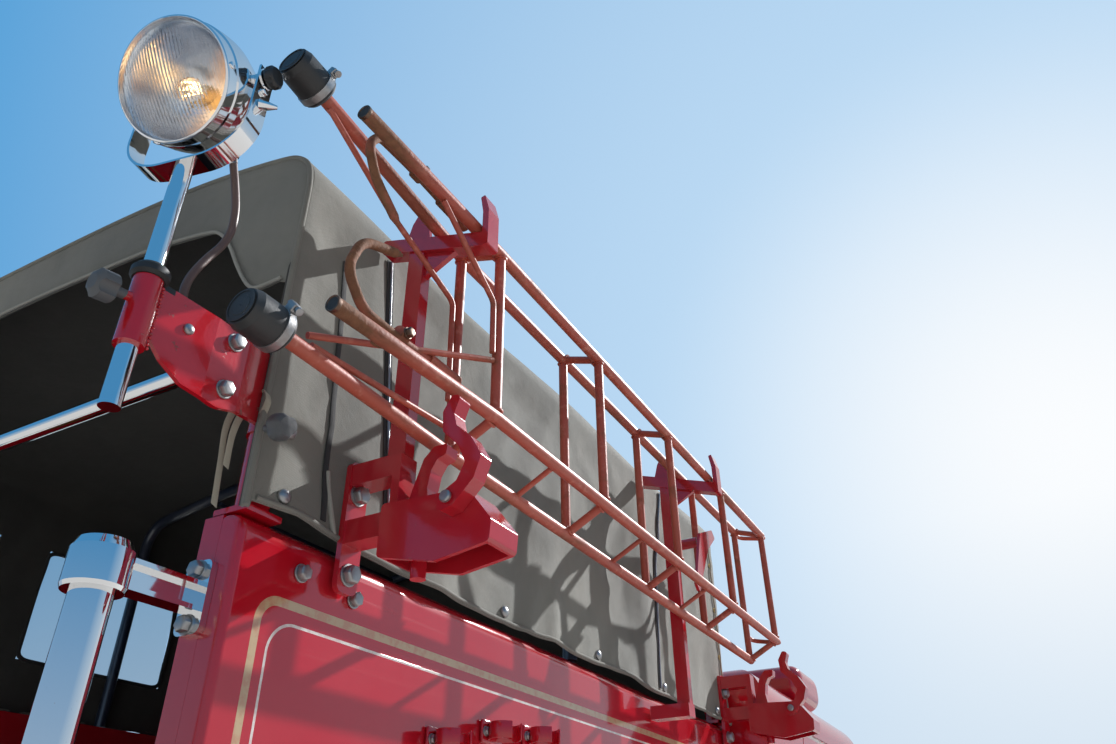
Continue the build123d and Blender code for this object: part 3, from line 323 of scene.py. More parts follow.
def wheelFinish(name, x, y):
    # Tyre outside the rim, painted disc with a pale line and a chrome hub cap inside it
    f = Finish(name)
    px, py, pz = f.axes()
    radius = root(py - y, pz - wheels["height"])
    tread = radius > 0.2118
    cap = (radius < 0.0675) * (1 - tread)
    line = radius.between(0.199, 0.2035) * (px.abs() > abs(x) + 0.04)
    dust = f.cloud(7, 6).step(0.45, 0.75)
    red = f.blend(dust * 0.25, tint(0.46, 0.006, 0.016), tint(0.34, 0.17, 0.13))
    side = f.blend(dust * 0.6, grey(0.020), tint(0.10, 0.088, 0.072))
    base = f.blend(tread, f.blend(cap, f.blend(line, red, tint(0.60, 0.50, 0.34)), grey(0.8)), side)
    rings = ((radius * 900).maths("SINE") * radius.between(0.235, 0.31) * tread)
    return f.done(f.surface(Base_Color=base, Metallic=cap, Roughness=tread * 0.62 + 0.16 + dust * 0.12,
                            Normal=f.bump(rings * 0.6 + f.cloud(200, 3) * tread, 0.0008, 0.5)))


def glassFinish(name, colour=grey(1.0), rough=0.01):
    f = Finish(name)
    film = f.cloud(6, 5).step(0.5, 0.9)
    return f.done(f.surface(Base_Color=colour, Roughness=film * 0.05 + rough, Transmission_Weight=1.0,
                            IOR=1.46))


def leatherFinish(name, colour):
    f = Finish(name)
    cells = f.add("ShaderNodeTexVoronoi", {"feature": "DISTANCE_TO_EDGE"},
                  {"Vector": f.place, "Scale": 420.0})
    crack = f.cloud(14, 7, stretch=(1, 2, 1)).step(0.55, 0.75)
    base = f.blend(crack * 0.6, colour, [c * 2.4 + 0.02 for c in colour[:3]] + [1])
    return f.done(f.surface(Base_Color=base, Roughness=f.cloud(30, 3) * 0.2 + 0.36 + crack * 0.15,
                            Normal=f.bump(cells.step(0, 0.25) + f.cloud(20, 4), 0.0008, 0.5)))


def glowFinish(name, colour, strength):
    f = Finish(name)
    spot = f.blend(f.cloud(40, 3), colour, [c * 0.8 for c in colour[:3]] + [1])
    return f.done(f.surface(Base_Color=grey(0.9), Roughness=0.12, Emission_Color=spot,
                            Emission_Strength=strength))


def reflectorFinish():
    # Silvered bowl with dark streaks of painted reflection, and a warm patch low on its right, where it
    # gathers the bulb's light, that is painted glow in its colour and emission
    f = Finish("reflector silver with painted glow")
    px, py, pz = f.axes()
    spots = []
    for across, down, ahead in ((-0.016, 0.014, 0.004), (-0.030, 0.020, 0.012)):
        centre = lampPivot + lampFrameAxes @ Vector((across, down, ahead))
        spots.append(root(root(px - centre.x, py - centre.y), pz - centre.z))
    # Masks of the painted glow: a bright core and a wider warm halo
    painted_glow_core = 1 - spots[0].step(0.010, 0.034)
    painted_glow_halo = 1 - spots[1].step(0.018, 0.062)
    # The dark streaks in the silver are painted reflection of dark surroundings
    streak = f.cloud(26, 5, stretch=(1, 1, 0.2)).step(0.35, 0.7)
    base = f.blend(streak, tint(0.46, 0.49, 0.54), tint(0.86, 0.87, 0.88))
    # Painted glow: the warm patch in colour and emission, and a faint bluish painted glow over the rest of
    # the bowl
    base = f.blend(painted_glow_halo, base, tint(0.95, 0.62, 0.30))
    painted_bulb_glow = f.blend(painted_glow_halo, tint(0.012, 0.016, 0.024), tint(1.0, 0.42, 0.10))
    painted_bulb_glow = f.blend(painted_glow_core, painted_bulb_glow, tint(1.6, 1.25, 0.80))
    return f.done(f.surface(Base_Color=base, Metallic=0.9, Roughness=f.cloud(60, 3) * 0.08 + 0.14,
                            Emission_Color=painted_bulb_glow, Emission_Strength=0.9,
                            Normal=f.bump(f.cloud(50, 2), 0.0006, 0.3)))


def mastMask(f):
    # The pivot's hand wheel, outboard of the yoke
    px, py, pz = f.axes()
    along = (px - lampPivot.x) * math.cos(lampHeading) + (py - lampPivot.y) * math.sin(lampHeading)
    return (along < -0.0826) * (pz > 2.03)


def bracketFinish():
    # Red plate and socket; its collar, knob and gland are rubber and grey plastic
    f = Finish("bracket red")
    px, py, pz = f.axes()
    away = root(px + 0.660, py - 2.171)
    collar = (pz > 1.7743) * (away < 0.03)
    knob = (py > 2.190) * pz.between(1.70, 1.80)
    gland = root(px + 0.645, py - 2.117).between(-1, 0.0095) * pz.between(1.728, 1.76)
    black = (collar + gland).below(1)
    base = f.blend(f.cloud(3, 4).step(0.35, 0.7), tint(0.52, 0.008, 0.018), tint(0.43, 0.006, 0.014))
    chip = f.cloud(50, 5).step(0.66, 0.69)
    base = f.blend(chip * 0.7, base, tint(0.16, 0.05, 0.03))
    base = f.blend(black, base, grey(0.02))
    base = f.blend(knob, base, tint(0.10, 0.105, 0.11))
    rough = 0.16 + chip * 0.3 + black * 0.4 + knob * 0.4
    return f.done(f.surface(Base_Color=base, Roughness=rough, Coat_Weight=(1 - black) * (1 - knob) * 0.5,
                            Normal=f.bump(f.cloud(140, 3), 0.0006, 0.35)))


finishes = {
    "red": paintFinish("gloss red", tint(0.50, 0.006, 0.018), 0.10, worn=0.25),
    "body": bodyFinish(stripes),
    "black": paintFinish("chassis black", tint(0.016, 0.016, 0.018), 0.35, 0.28, worn=0.5),
    "iron": paintFinish("engine grey", tint(0.09, 0.10, 0.10), 0.3, 0.45, worn=0.5),
    "chrome": chromeFinish("chrome"),
    "mast": chromeFinish("mast chrome", mastMask),
    "steel": steelFinish("bolt steel", grey(0.36), 0.25),
    "rusty": steelFinish("rusty steel", tint(0.16, 0.10, 0.07), 0.9),
    "ladder": ladderFinish(),
    "canvas": canvasFinish("canopy canvas"),
    # Inner face of the canopy: a much darker copy of the canvas, as painted shade
    "inner_painted_shade": canvasFinish("canvas inner face painted shade", tint(0.040, 0.040, 0.036), tint(0.075, 0.072, 0.062)),
    "binding": canvasFinish("binding tape", tint(0.30, 0.30, 0.27), tint(0.42, 0.41, 0.37)),
    "zip": canvasFinish("black webbing", grey(0.012), grey(0.05)),
    "cotton": canvasFinish("cotton tape", tint(0.36, 0.33, 0.26), tint(0.50, 0.46, 0.37)),
    "rubber": rubberFinish("black rubber"),
    "hose": rubberFinish("hose rubber", tint(0.028, 0.027, 0.026), 0.55, 120),
    "cable": rubberFinish("cable sheath", tint(0.105, 0.062, 0.052), 0.42, 500),
    "plastic": rubberFinish("knob plastic", tint(0.085, 0.09, 0.095), 0.55, 400),
    "bracket": bracketFinish(),
    # Near-black bow paint; its blue tint is painted reflection of the sky
    "bow": paintFinish("bow black with painted sky reflection", tint(0.012, 0.022, 0.05), 0.2, 0.3, worn=0.3),
    "glass": glassFinish("clear glass"),
    "film": glassFinish("window film", tint(0.93, 0.94, 0.92), 0.06),
    "lens": glassFinish("lens glass", tint(0.98, 0.99, 0.985), 0.0),
    "lampRed": glassFinish("tail lamp red", tint(0.75, 0.02, 0.02), 0.05),
    "reflector": reflectorFinish(),
    "filament": glowFinish("filament", tint(1.0, 0.62, 0.25), 9.0),
    "bulb": glassFinish("bulb glass", tint(1.0, 0.97, 0.90), 0.02),
    "leather": leatherFinish("seat leather", tint(0.028, 0.020, 0.016)),
    "brass": steelFinish("brass", tint(0.60, 0.40, 0.14), 0.15),
}
for side, hand in ((1, "left"), (-1, "right")):
    for end in ("front", "rear"):
        x, y = wheels[end]
        finishes["wheel_%s_%s" % (end, hand)] = wheelFinish("wheel %s %s" % (end, hand), side * x, y)

nodeFinish = {
    "red": ["bonnet", "bonnet_sides", "cab", "roof_locker", "front_wings", "rear_wings", "door_left",
            "door_right", "ladder_brackets", "latch_rear", "latch_front"],
    "body": ["crew_body"],
    "black": ["chassis_frame", "springs", "front_axle", "rear_axle", "driveline", "knuckle_left",
              "knuckle_right", "steps", "dashboard", "steering_wheel", "hose_rack"],
    "iron": ["engine"],
    "chrome": ["bumper", "headlamps", "grab_rails", "searchlight", "grille"],
    "mast": ["searchlight_mast"],
    "bracket": ["searchlight_bracket"],
    "ladder": ["ladder"],
    "rubber": ["ladder_caps"],
    "hose": ["suction_hoses"],
    "cable": ["searchlight_cable"],
    "canvas": ["canopy"],
    "bow": ["canopy_bows"],
    "glass": ["cab_glass", "door_glass_left", "door_glass_right", "headlamp_glass"],
    "lens": ["searchlight_glass"],
    "lampRed": ["tail_lamps"],
    "leather": ["cab_seat_cushion", "cab_seat_back", "bench_cushions"],
}
for finish, names in nodeFinish.items():
    for name in names:
        nodes[name].data.materials.clear()
        nodes[name].data.materials.append(finishes[finish])
for name, piece in nodes.items():
    if name.startswith("wheel_"):
        piece.data.materials.clear()
        piece.data.materials.append(finishes[name])
print("finishes", len(finishes))


# Modelling helpers
def deselectAll():
    active = bpy.context.view_layer.objects.active
    if active and active.mode != "OBJECT":
        bpy.ops.object.mode_set(mode="OBJECT")
    bpy.ops.object.select_all(action="DESELECT")


def pick(*pieces):
    deselectAll()
    for piece in pieces:
        piece.select_set(True)
    bpy.context.view_layer.objects.active = pieces[0]


def settle(piece, name=None, finish=None, body=None, smooth=None):
    # Bakes the piece's place into its mesh, then names, finishes and hangs it on its body
    pick(piece)
    if piece.type == "MESH":
        bpy.ops.object.transform_apply(location=True, rotation=True, scale=True)
    if name:
        piece.name = name
    if finish:
        piece.data.materials.clear()
        piece.data.materials.append(finishes[finish])
    if smooth is not None and piece.type == "MESH":
        bpy.ops.object.shade_smooth_by_angle(angle=math.radians(smooth))
    if body:
        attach(piece, body)
    return piece


def lathe(rings, steps=32, closeStart=True, closeEnd=True):
    # A circle is extruded and resized ring by ring, up its own z axis
    deselectAll()
    radius, height = rings[0]
    bpy.ops.mesh.primitive_circle_add(vertices=steps, radius=radius, location=(0, 0, 0),
                                      fill_type="NGON" if closeStart else "NOTHING")
    piece = bpy.context.object
    bpy.ops.object.mode_set(mode="EDIT")
    bpy.ops.mesh.select_mode(type="VERT")
    bpy.ops.mesh.select_all(action="SELECT")
    bpy.ops.transform.translate(value=(0, 0, height))
    before, level = radius, height
    for radius, height in rings[1:]:
        bpy.ops.mesh.extrude_region_move(TRANSFORM_OT_translate={"value": (0, 0, height - level)})
        bpy.ops.transform.resize(value=(radius / before, radius / before, 1), center_override=(0, 0, height))
        before, level = radius, height
    if closeEnd and not closeStart:
        bpy.ops.mesh.edge_face_add()
    if closeStart and not closeEnd:
        bpy.ops.mesh.delete(type="ONLY_FACE")
    bpy.ops.mesh.select_all(action="SELECT")
    bpy.ops.mesh.normals_make_consistent(inside=False)
    bpy.ops.object.mode_set(mode="OBJECT")
    return piece


def frameAt(spot, facing, across=None):
    # Matrix whose z runs along facing
    z = Vector(facing).normalized()
    x = Vector(across) if across else (Vector((0, 0, 1)) if abs(z.z) < 0.9 else Vector((1, 0, 0)))
    x = (x - z * x.dot(z)).normalized()
    return Matrix.Translation(spot) @ Matrix((x, z.cross(x), z)).transposed().to_4x4()


def put(piece, matrix):
    piece.data.transform(matrix)
    if matrix.determinant() < 0:
        piece.data.flip_normals()
    return piece


def copyOf(piece, matrix):
    twin = piece.copy()
    twin.data = piece.data.copy()
    bpy.context.collection.objects.link(twin)
    return put(twin, matrix)


def joined(pieces, name, finish=None, body="root", smooth=35):
    pick(*pieces)
    if len(pieces) > 1:
        bpy.ops.object.join()
    return settle(pieces[0], name, finish, body, smooth)


def spread(model, matrices, name, finish, body="root", smooth=35):
    # Copies of one modelled piece, joined as one
    pieces = [copyOf(model, matrix) for matrix in matrices]
    return joined(pieces, name, finish, body, smooth)


def drop(*pieces):
    for piece in pieces:
        bpy.data.objects.remove(piece)


def tube(name, points, radius, finish, body="root", steps=8, round_=3, cyclic=False):
    # Smooth round line led by control points
    deselectAll()
    bpy.ops.curve.primitive_nurbs_path_add(location=(0, 0, 0))
    piece = bpy.context.object
    data = piece.data
    data.splines.clear()
    spline = data.splines.new("NURBS")
    spline.points.add(len(points) - 1)
    for place, point in zip(spline.points, points):
        place.co = (*point, 1)
    spline.order_u = 3
    spline.use_endpoint_u = not cyclic
    spline.use_cyclic_u = cyclic
    data.resolution_u = steps
    data.bevel_depth = radius
    data.bevel_resolution = round_
    data.use_fill_caps = True
    piece.name = name
    data.materials.append(finishes[finish])
    if body:
        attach(piece, body)
    return piece


def strip(points, width, thick):
    # A plane's end edge is extruded from station to station; width is a vector or one vector per station
    widths = [Vector(w) for w in width] if isinstance(width, list) else [Vector(width)] * len(points)
    deselectAll()
    bpy.ops.mesh.primitive_plane_add(size=1, location=(0, 0, 0))
    piece = bpy.context.object
    mesh = piece.data
    rows = [(Vector(p) - w / 2, Vector(p) + w / 2) for p, w in zip(points, widths)]
    order = sorted(range(4), key=lambda k: (mesh.vertices[k].co.x, mesh.vertices[k].co.y))
    for k, place in zip(order, (rows[0][0], rows[0][1], rows[1][0], rows[1][1])):
        mesh.vertices[k].co = place
    bpy.ops.object.mode_set(mode="EDIT")
    bpy.ops.mesh.select_mode(type="EDGE")
    form = bmesh.from_edit_mesh(mesh)
    form.verts.ensure_lookup_table()
    bpy.ops.mesh.select_all(action="DESELECT")
    for edge in form.edges:
        edge.select = all(v.index in order[2:] for v in edge.verts)
    bmesh.update_edit_mesh(mesh)
    for row, before in zip(rows[2:], rows[1:]):
        bpy.ops.mesh.extrude_region_move(TRANSFORM_OT_translate={"value": (0, 0, 0)})
        form = bmesh.from_edit_mesh(mesh)
        ends = sorted((v for v in form.verts if v.select), key=lambda v: (v.co - before[0]).length)
        ends[0].co, ends[1].co = row
        bmesh.update_edit_mesh(mesh)
    bpy.ops.mesh.select_all(action="SELECT")
    bpy.ops.mesh.normals_make_consistent(inside=False)
    bpy.ops.object.mode_set(mode="OBJECT")
    pick(piece)
    finishStack(piece, [("SOLIDIFY", {"thickness": thick, "offset": 0}),
                        ("BEVEL", {"width": 0.0008, "segments": 2, "limit_method": "ANGLE"})])
    return piece


def finishStack(piece, stack):
    # Adds and applies modifiers in turn
    pick(piece)
    for kind, settings in stack:
        modifier = piece.modifiers.new(kind.lower(), kind)
        for key, value in settings.items():
            setattr(modifier, key, value)
        bpy.ops.object.modifier_apply(modifier=modifier.name)
    return piece


def roundBox(size, spot, bevel, segments=3):
    deselectAll()
    bpy.ops.mesh.primitive_cube_add(size=1, location=spot, scale=size)
    piece = bpy.context.object
    bpy.ops.object.transform_apply(location=True, rotation=True, scale=True)
    bpy.ops.object.mode_set(mode="EDIT")
    bpy.ops.mesh.select_all(action="SELECT")
    bpy.ops.mesh.bevel(offset=bevel, segments=segments, affect="EDGES")
    bpy.ops.object.mode_set(mode="OBJECT")
    return piece


def hexBolt(width, height):
    # Six-sided head with rounded corners on a thin washer
    deselectAll()
    bpy.ops.mesh.primitive_cylinder_add(vertices=6, radius=width / 2 / math.cos(math.pi / 6), depth=height,
                                        location=(0, 0, height / 2 + 0.0018))
    head = bpy.context.object
    bpy.ops.object.transform_apply(location=True)
    bpy.ops.object.mode_set(mode="EDIT")
    bpy.ops.mesh.select_mode(type="FACE")
    form = bmesh.from_edit_mesh(head.data)
    for face in form.faces:
        face.select = face.normal.z > 0.9
    bmesh.update_edit_mesh(head.data)
    bpy.ops.mesh.inset(thickness=width * 0.10)
    bpy.ops.transform.translate(value=(0, 0, height * 0.16))
    bpy.ops.mesh.select_all(action="SELECT")
    bpy.ops.mesh.bevel(offset=width * 0.025, segments=1, affect="EDGES")
    bpy.ops.object.mode_set(mode="OBJECT")
    washer = lathe([(width * 0.68, 0), (width * 0.68, 0.0014), (width * 0.64, 0.0019)], 24)
    pick(head, washer)
    bpy.ops.object.join()
    return head


def stud(radius):
    dome = ((1, 0), (1, 0.22), (0.84, 0.48), (0.45, 0.66), (0.08, 0.72))
    return lathe([(radius * across, radius * up) for across, up in dome], 16)


lampFrame = Matrix.Translation(lampPivot) @ lampFrameAxes.to_4x4()


# Searchlight's cable, along the same route as its tube
cord = {"route": [(-666.8, 2119.4, 1982.4), (-666, 2109, 1956), (-664, 2097, 1920), (-660, 2096, 1883),
                  (-655, 2116, 1841), (-650, 2126, 1807), (-647, 2121, 1780), (-645, 2118, 1755)],
        "radius": 0.00475, "length": 0.238}


def makeCable(v):
    route = [Vector(point) / 1000 for point in v["route"]]
    cable = tube("lamp_cable", route, v["radius"], "cable", "root", round_=5, steps=12)
    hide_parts("searchlight_cable")
    out = (route[1] - route[0]).normalized()
    # The lamp's own end of the cable, with a rubber ring where it enters the shell
    boot = lathe([(0.0051, 0), (0.0051, 0.017)], 20, closeStart=False, closeEnd=False)
    put(boot, frameAt(route[0] - out * 0.0005, -out))
    settle(boot, "cable_boot", "cable", "lamp", 40)
    ring = lathe([(0.0054, 0), (0.0072, 0.0006), (0.0074, 0.005), (0.0062, 0.0058), (0.0066, 0.0072),
                  (0.0054, 0.0082)], 24)
    put(ring, frameAt(route[0] - out * 0.0075, -out))
    settle(ring, "cable_ring", "rubber", "lamp", 40)
    lower = lathe([(0.0072, 0), (0.0072, 0.004), (0.006, 0.0055), (0.0066, 0.007), (0.0055, 0.0085),
                   (0.005, 0.013)], 24)
    up = (route[-2] - route[-1]).normalized()
    put(lower, frameAt(route[-1] + up * 0.0005, up))
    settle(lower, "cable_grommet", "rubber", "root", 40)


makeCable(cord)
print("cable")


# Canvas top: one sheet, from the rear valance over the bows to the front, with its hems and windows
canvas = {"half": 0.656, "rear": 1.996, "front": 0.404, "base": 1.600, "corner": 0.062, "eaves": 2.0768,
          "crown": 2.188, "thick": 0.0025, "windows": ((0.56, 0.94), (1.06, 1.44), (1.56, 1.84)),
          "sill": 1.71, "head": 1.96, "bows": (0.455, 1.208, 1.962)}
valanceEdge = [(0.0, -0.6475, 1.600), (0.306, -0.6475, 1.898), (0.322, -0.640, 1.908), (0.345, -0.612, 1.906),
               (0.372, -0.590, 1.909), (0.395, -0.573, 1.926), (0.420, -0.548, 1.965), (0.446, -0.523, 2.011),
               (0.475, -0.500, 2.040), (0.51, -0.476, 2.056), (0.62, -0.380, 2.073), (0.75, -0.300, 2.081),
               (0.92, -0.123, 2.089), (1.08, 0.0, 2.091)]
canvasTrim = {"studs": (1.948, 1.713, 1.469, 1.145, 0.822, 0.500), "studZ": 1.617,
              "loose": ((1.955, 1.70), (1.80, 1.70)),
              "zips": (((1.821, 2.048), (1.764, 1.612)), ((0.778, 2.075), (0.855, 1.612)),
                       ((1.905, 1.990), (1.884, 1.612))),
              "slit": ((1.884, 1.679), (1.881, 1.655), (1.873, 1.63), (1.862, 1.605))}


def outlineOf(v):
    # Right half of the section as (x, z), hem to ridge
    points = [(-v["half"], v["base"] + (v["eaves"] - v["base"]) * k / 24) for k in range(24)]
    for k in range(13):
        turn = math.radians(81.3) * k / 12
        points.append((-v["half"] + v["corner"] * (1 - math.cos(turn)),
                       v["eaves"] + v["corner"] * math.sin(turn)))
    for k in range(1, 25):
        x = -0.603 * (1 - k / 24)
        points.append((x, v["crown"] - 0.050 * (abs(x) / 0.603) ** 3.04))
    return points


outline = outlineOf(canvas)
reach = [0.0]
for a, b in zip(outline, outline[1:]):
    reach.append(reach[-1] + math.dist(a, b))
halfRound = reach[-1]


def along(stations, values, t):
    # Straight interpolation of a table of points
    for k in range(len(stations) - 1):
        if t <= stations[k + 1]:
            part = (t - stations[k]) / (stations[k + 1] - stations[k])
            return tuple(a + (b - a) * part for a, b in zip(values[k], values[k + 1]))
    return values[-1]


def sectionAt(t):
    # t runs from the right hem, 0, over the ridge to the left hem, 2 * halfRound
    right = t <= halfRound
    x, z = along(reach, outline, t if right else 2 * halfRound - t)
    return (x, z) if right else (-x, z)


def edgeAt(t):
    # The valance's edge at t; its far stations are stretched to end on the ridge
    right = t <= halfRound
    stations = [p[0] * halfRound / 1.08 if p[0] > 0.5 else p[0] for p in valanceEdge]
    x, z = along(stations, [p[1:] for p in valanceEdge], t if right else 2 * halfRound - t)
    return (x, z) if right else (-x, z)


def slack(side, y, z):
    # How far the side cloth lies inside its tight plane, and out at the waved hem
    calm = min([1.0] + [max(0.0, abs(y - spot) / 0.07 - 0.25) for spot in (1.836, 0.905, 0.460)])
    folds = noise.noise(Vector((y * 4.5 + z * 2.2, z * 3.0 - y * 0.8, side * 3.1)))
    creases = abs(noise.noise(Vector((y * 11 + z * 8, z * 6 - y * 2.5, side * 5.7))))
    low = max(0.0, 1 - (z - 1.6) / 0.20)
    wave = 0.5 - 0.5 * math.cos(2 * math.pi * (y - 1.469) / 0.322)
    corner = min(1.0, max(0.0, (1.985 - y) / 0.06)) * min(1.0, max(0.0, (2.07 - z) / 0.06))
    nearBow = min(abs(y - bow) for bow in canvas["bows"])
    inward = min(0.0085 * (0.5 + folds) + 0.011 * creases, 0.010 + 0.1 * max(0.0, nearBow - 0.03))
    return (inward * corner - 0.010 * wave * low ** 2 * corner) * calm


def canvasPoint(t, y, v):
    x, z = sectionAt(t)
    side = 1 if x > 0 else -1
    if z < v["eaves"]:
        hemDrop = 0.010 * noise.noise(Vector((y * 6, 1.3, side))) * max(0.0, 1 - (z - v["base"]) / 0.1)
        return Vector((x - side * slack(side, y, z), y, z + hemDrop + 0.004))
    between = 1.0
    for a, b in zip(v["bows"], v["bows"][1:]):
        if a <= y <= b:
            between = math.sin(math.pi * (y - a) / (b - a)) ** 2
    over = min(1.0, (z - v["eaves"]) / 0.05) * (between if v["bows"][0] < y < v["bows"][-1] else 0)
    crease = noise.noise(Vector((x * 5, y * 3, 2.0))) * 0.003
    ripple = 0.006 * noise.noise(Vector((side * 2.0, y * 7, 5.0))) * max(0.0, 1 - abs(z - 2.13) / 0.05)
    return Vector((x - side * (0.002 + ripple) * over, y, z - (0.012 + ripple) * over + crease * over))


def canvasSide(y, z, out=0.0, side=-1):
    # Point on the side cloth, out metres off it
    t = z - canvas["base"]
    p = canvasPoint(t, y, canvas)
    return Vector((side * (-p.x + out), y, p.z)) if side > 0 else Vector((p.x - out, y, p.z))


def makeCanopy(v):
    columns = {0.0, 0.306, halfRound, 2 * halfRound}
    for edge in (v["sill"], v["head"]):
        columns |= {edge - v["base"], 2 * halfRound - (edge - v["base"])}
    columns |= {k * 2 * halfRound / 150 for k in range(151)}
    for k in range(7):
        bend = v["eaves"] - v["base"] + 0.088 * k / 6
        columns |= {bend, 2 * halfRound - bend}
    columns = thinned(sorted(columns), 0.004)
    depths = {v["front"] + (v["rear"] - v["front"] - 0.008) * k / 130 for k in range(131)}
    for low, high in v["windows"]:
        depths |= {low, high}
    depths = thinned(sorted(depths, reverse=True), 0.003)
    rows = []
    for k in range(9):                                  # rear face, from the valance's edge out to the corner
        part = k / 9
        row = []
        for t in columns:
            edge, outer = Vector(edgeAt(t)), Vector(sectionAt(t))
            here = edge.lerp(outer, part)
            bag = 0.005 * math.sin(math.pi * part) * noise.noise(Vector((here.x * 7, 4, here.y * 7)))
            row.append(Vector((here.x, v["rear"] - 0.001 + bag - 0.003 * (part == 0), here.y)))
        rows.append(row)
    for k in range(4):                                  # rounded corner
        turn = math.pi / 2 * (k + 0.5) / 4
        row = []
        for t in columns:
            edge, outer = Vector(edgeAt(t)), Vector(sectionAt(t))
            inward = (edge - outer)
            inward = inward.normalized() * 0.008 if inward.length > 1e-6 else inward
            here = outer + inward * (1 - math.sin(turn))
            row.append(Vector((here.x, v["rear"] - 0.008 * (1 - math.cos(turn)), here.y)))
        rows.append(row)
    for y in depths:
        rows.append([canvasPoint(t, y, v) for t in columns])
    for k in range(1, 10):                              # front wall, drawn together behind the cab
        row = []
        for t in columns:
            outer = Vector(sectionAt(t))
            foot = Vector((-0.63 + 1.26 * t / (2 * halfRound), v["base"] + 0.01))
            here = outer.lerp(foot, k / 9 * 0.985)
            row.append(Vector((here.x, v["front"] + 0.0005 * k, here.y)))
        rows.append(row)
    deselectAll()
    bpy.ops.mesh.primitive_grid_add(x_subdivisions=len(columns) - 1, y_subdivisions=len(rows) - 1, size=2)
    sheet = bpy.context.object
    for k, vertex in enumerate(sheet.data.vertices):
        vertex.co = rows[k // len(columns)][k % len(columns)]
    bpy.ops.object.mode_set(mode="EDIT")
    bpy.ops.mesh.select_mode(type="FACE")
    bpy.ops.mesh.select_all(action="DESELECT")
    form = bmesh.from_edit_mesh(sheet.data)
    for face in form.faces:
        middle = face.calc_center_median()
        face.select = middle.x > 0.62 and v["sill"] < middle.z < v["head"] and any(
            low < middle.y < high for low, high in v["windows"])
    bmesh.update_edit_mesh(sheet.data)
    bpy.ops.mesh.delete(type="FACE")
    form = bmesh.from_edit_mesh(sheet.data)
    slim = [face for face in form.faces if face.calc_area() < 1e-9]
    bmesh.ops.delete(form, geom=slim, context="FACES")
    bmesh.update_edit_mesh(sheet.data)
    bpy.ops.object.mode_set(mode="OBJECT")
    roof = [p for p in sheet.data.polygons if p.center.z > 2.15]
    if sum(p.normal.z for p in roof) < 0:
        sheet.data.flip_normals()
    area = round(sum(p.area for p in sheet.data.polygons), 3)
    # The sheet's inner face takes the dark copy of the canvas, which is painted shade
    for name in ("canvas", "inner_painted_shade"):
        sheet.data.materials.append(finishes[name])
    finishStack(sheet, [("SOLIDIFY", {"thickness": v["thick"], "offset": -1, "material_offset": 1})])
    settle(sheet, "canvas_top", None, "root", 60)
    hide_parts("canopy")
    width, length = round(2 * halfRound, 2), round(area / (2 * halfRound), 2)
    return sheet, (width, length)


def thinned(values, least):
    kept = [values[0]]
    for value in values[1:]:
        if abs(value - kept[-1]) >= least:
            kept.append(value)
        elif value in (canvas["sill"] - canvas["base"], canvas["head"] - canvas["base"]):
            kept[-1] = value
    return kept


canvasTop, canvasCut = makeCanopy(canvas)
print("canvas cut", canvasCut, "faces", len(canvasTop.data.polygons))


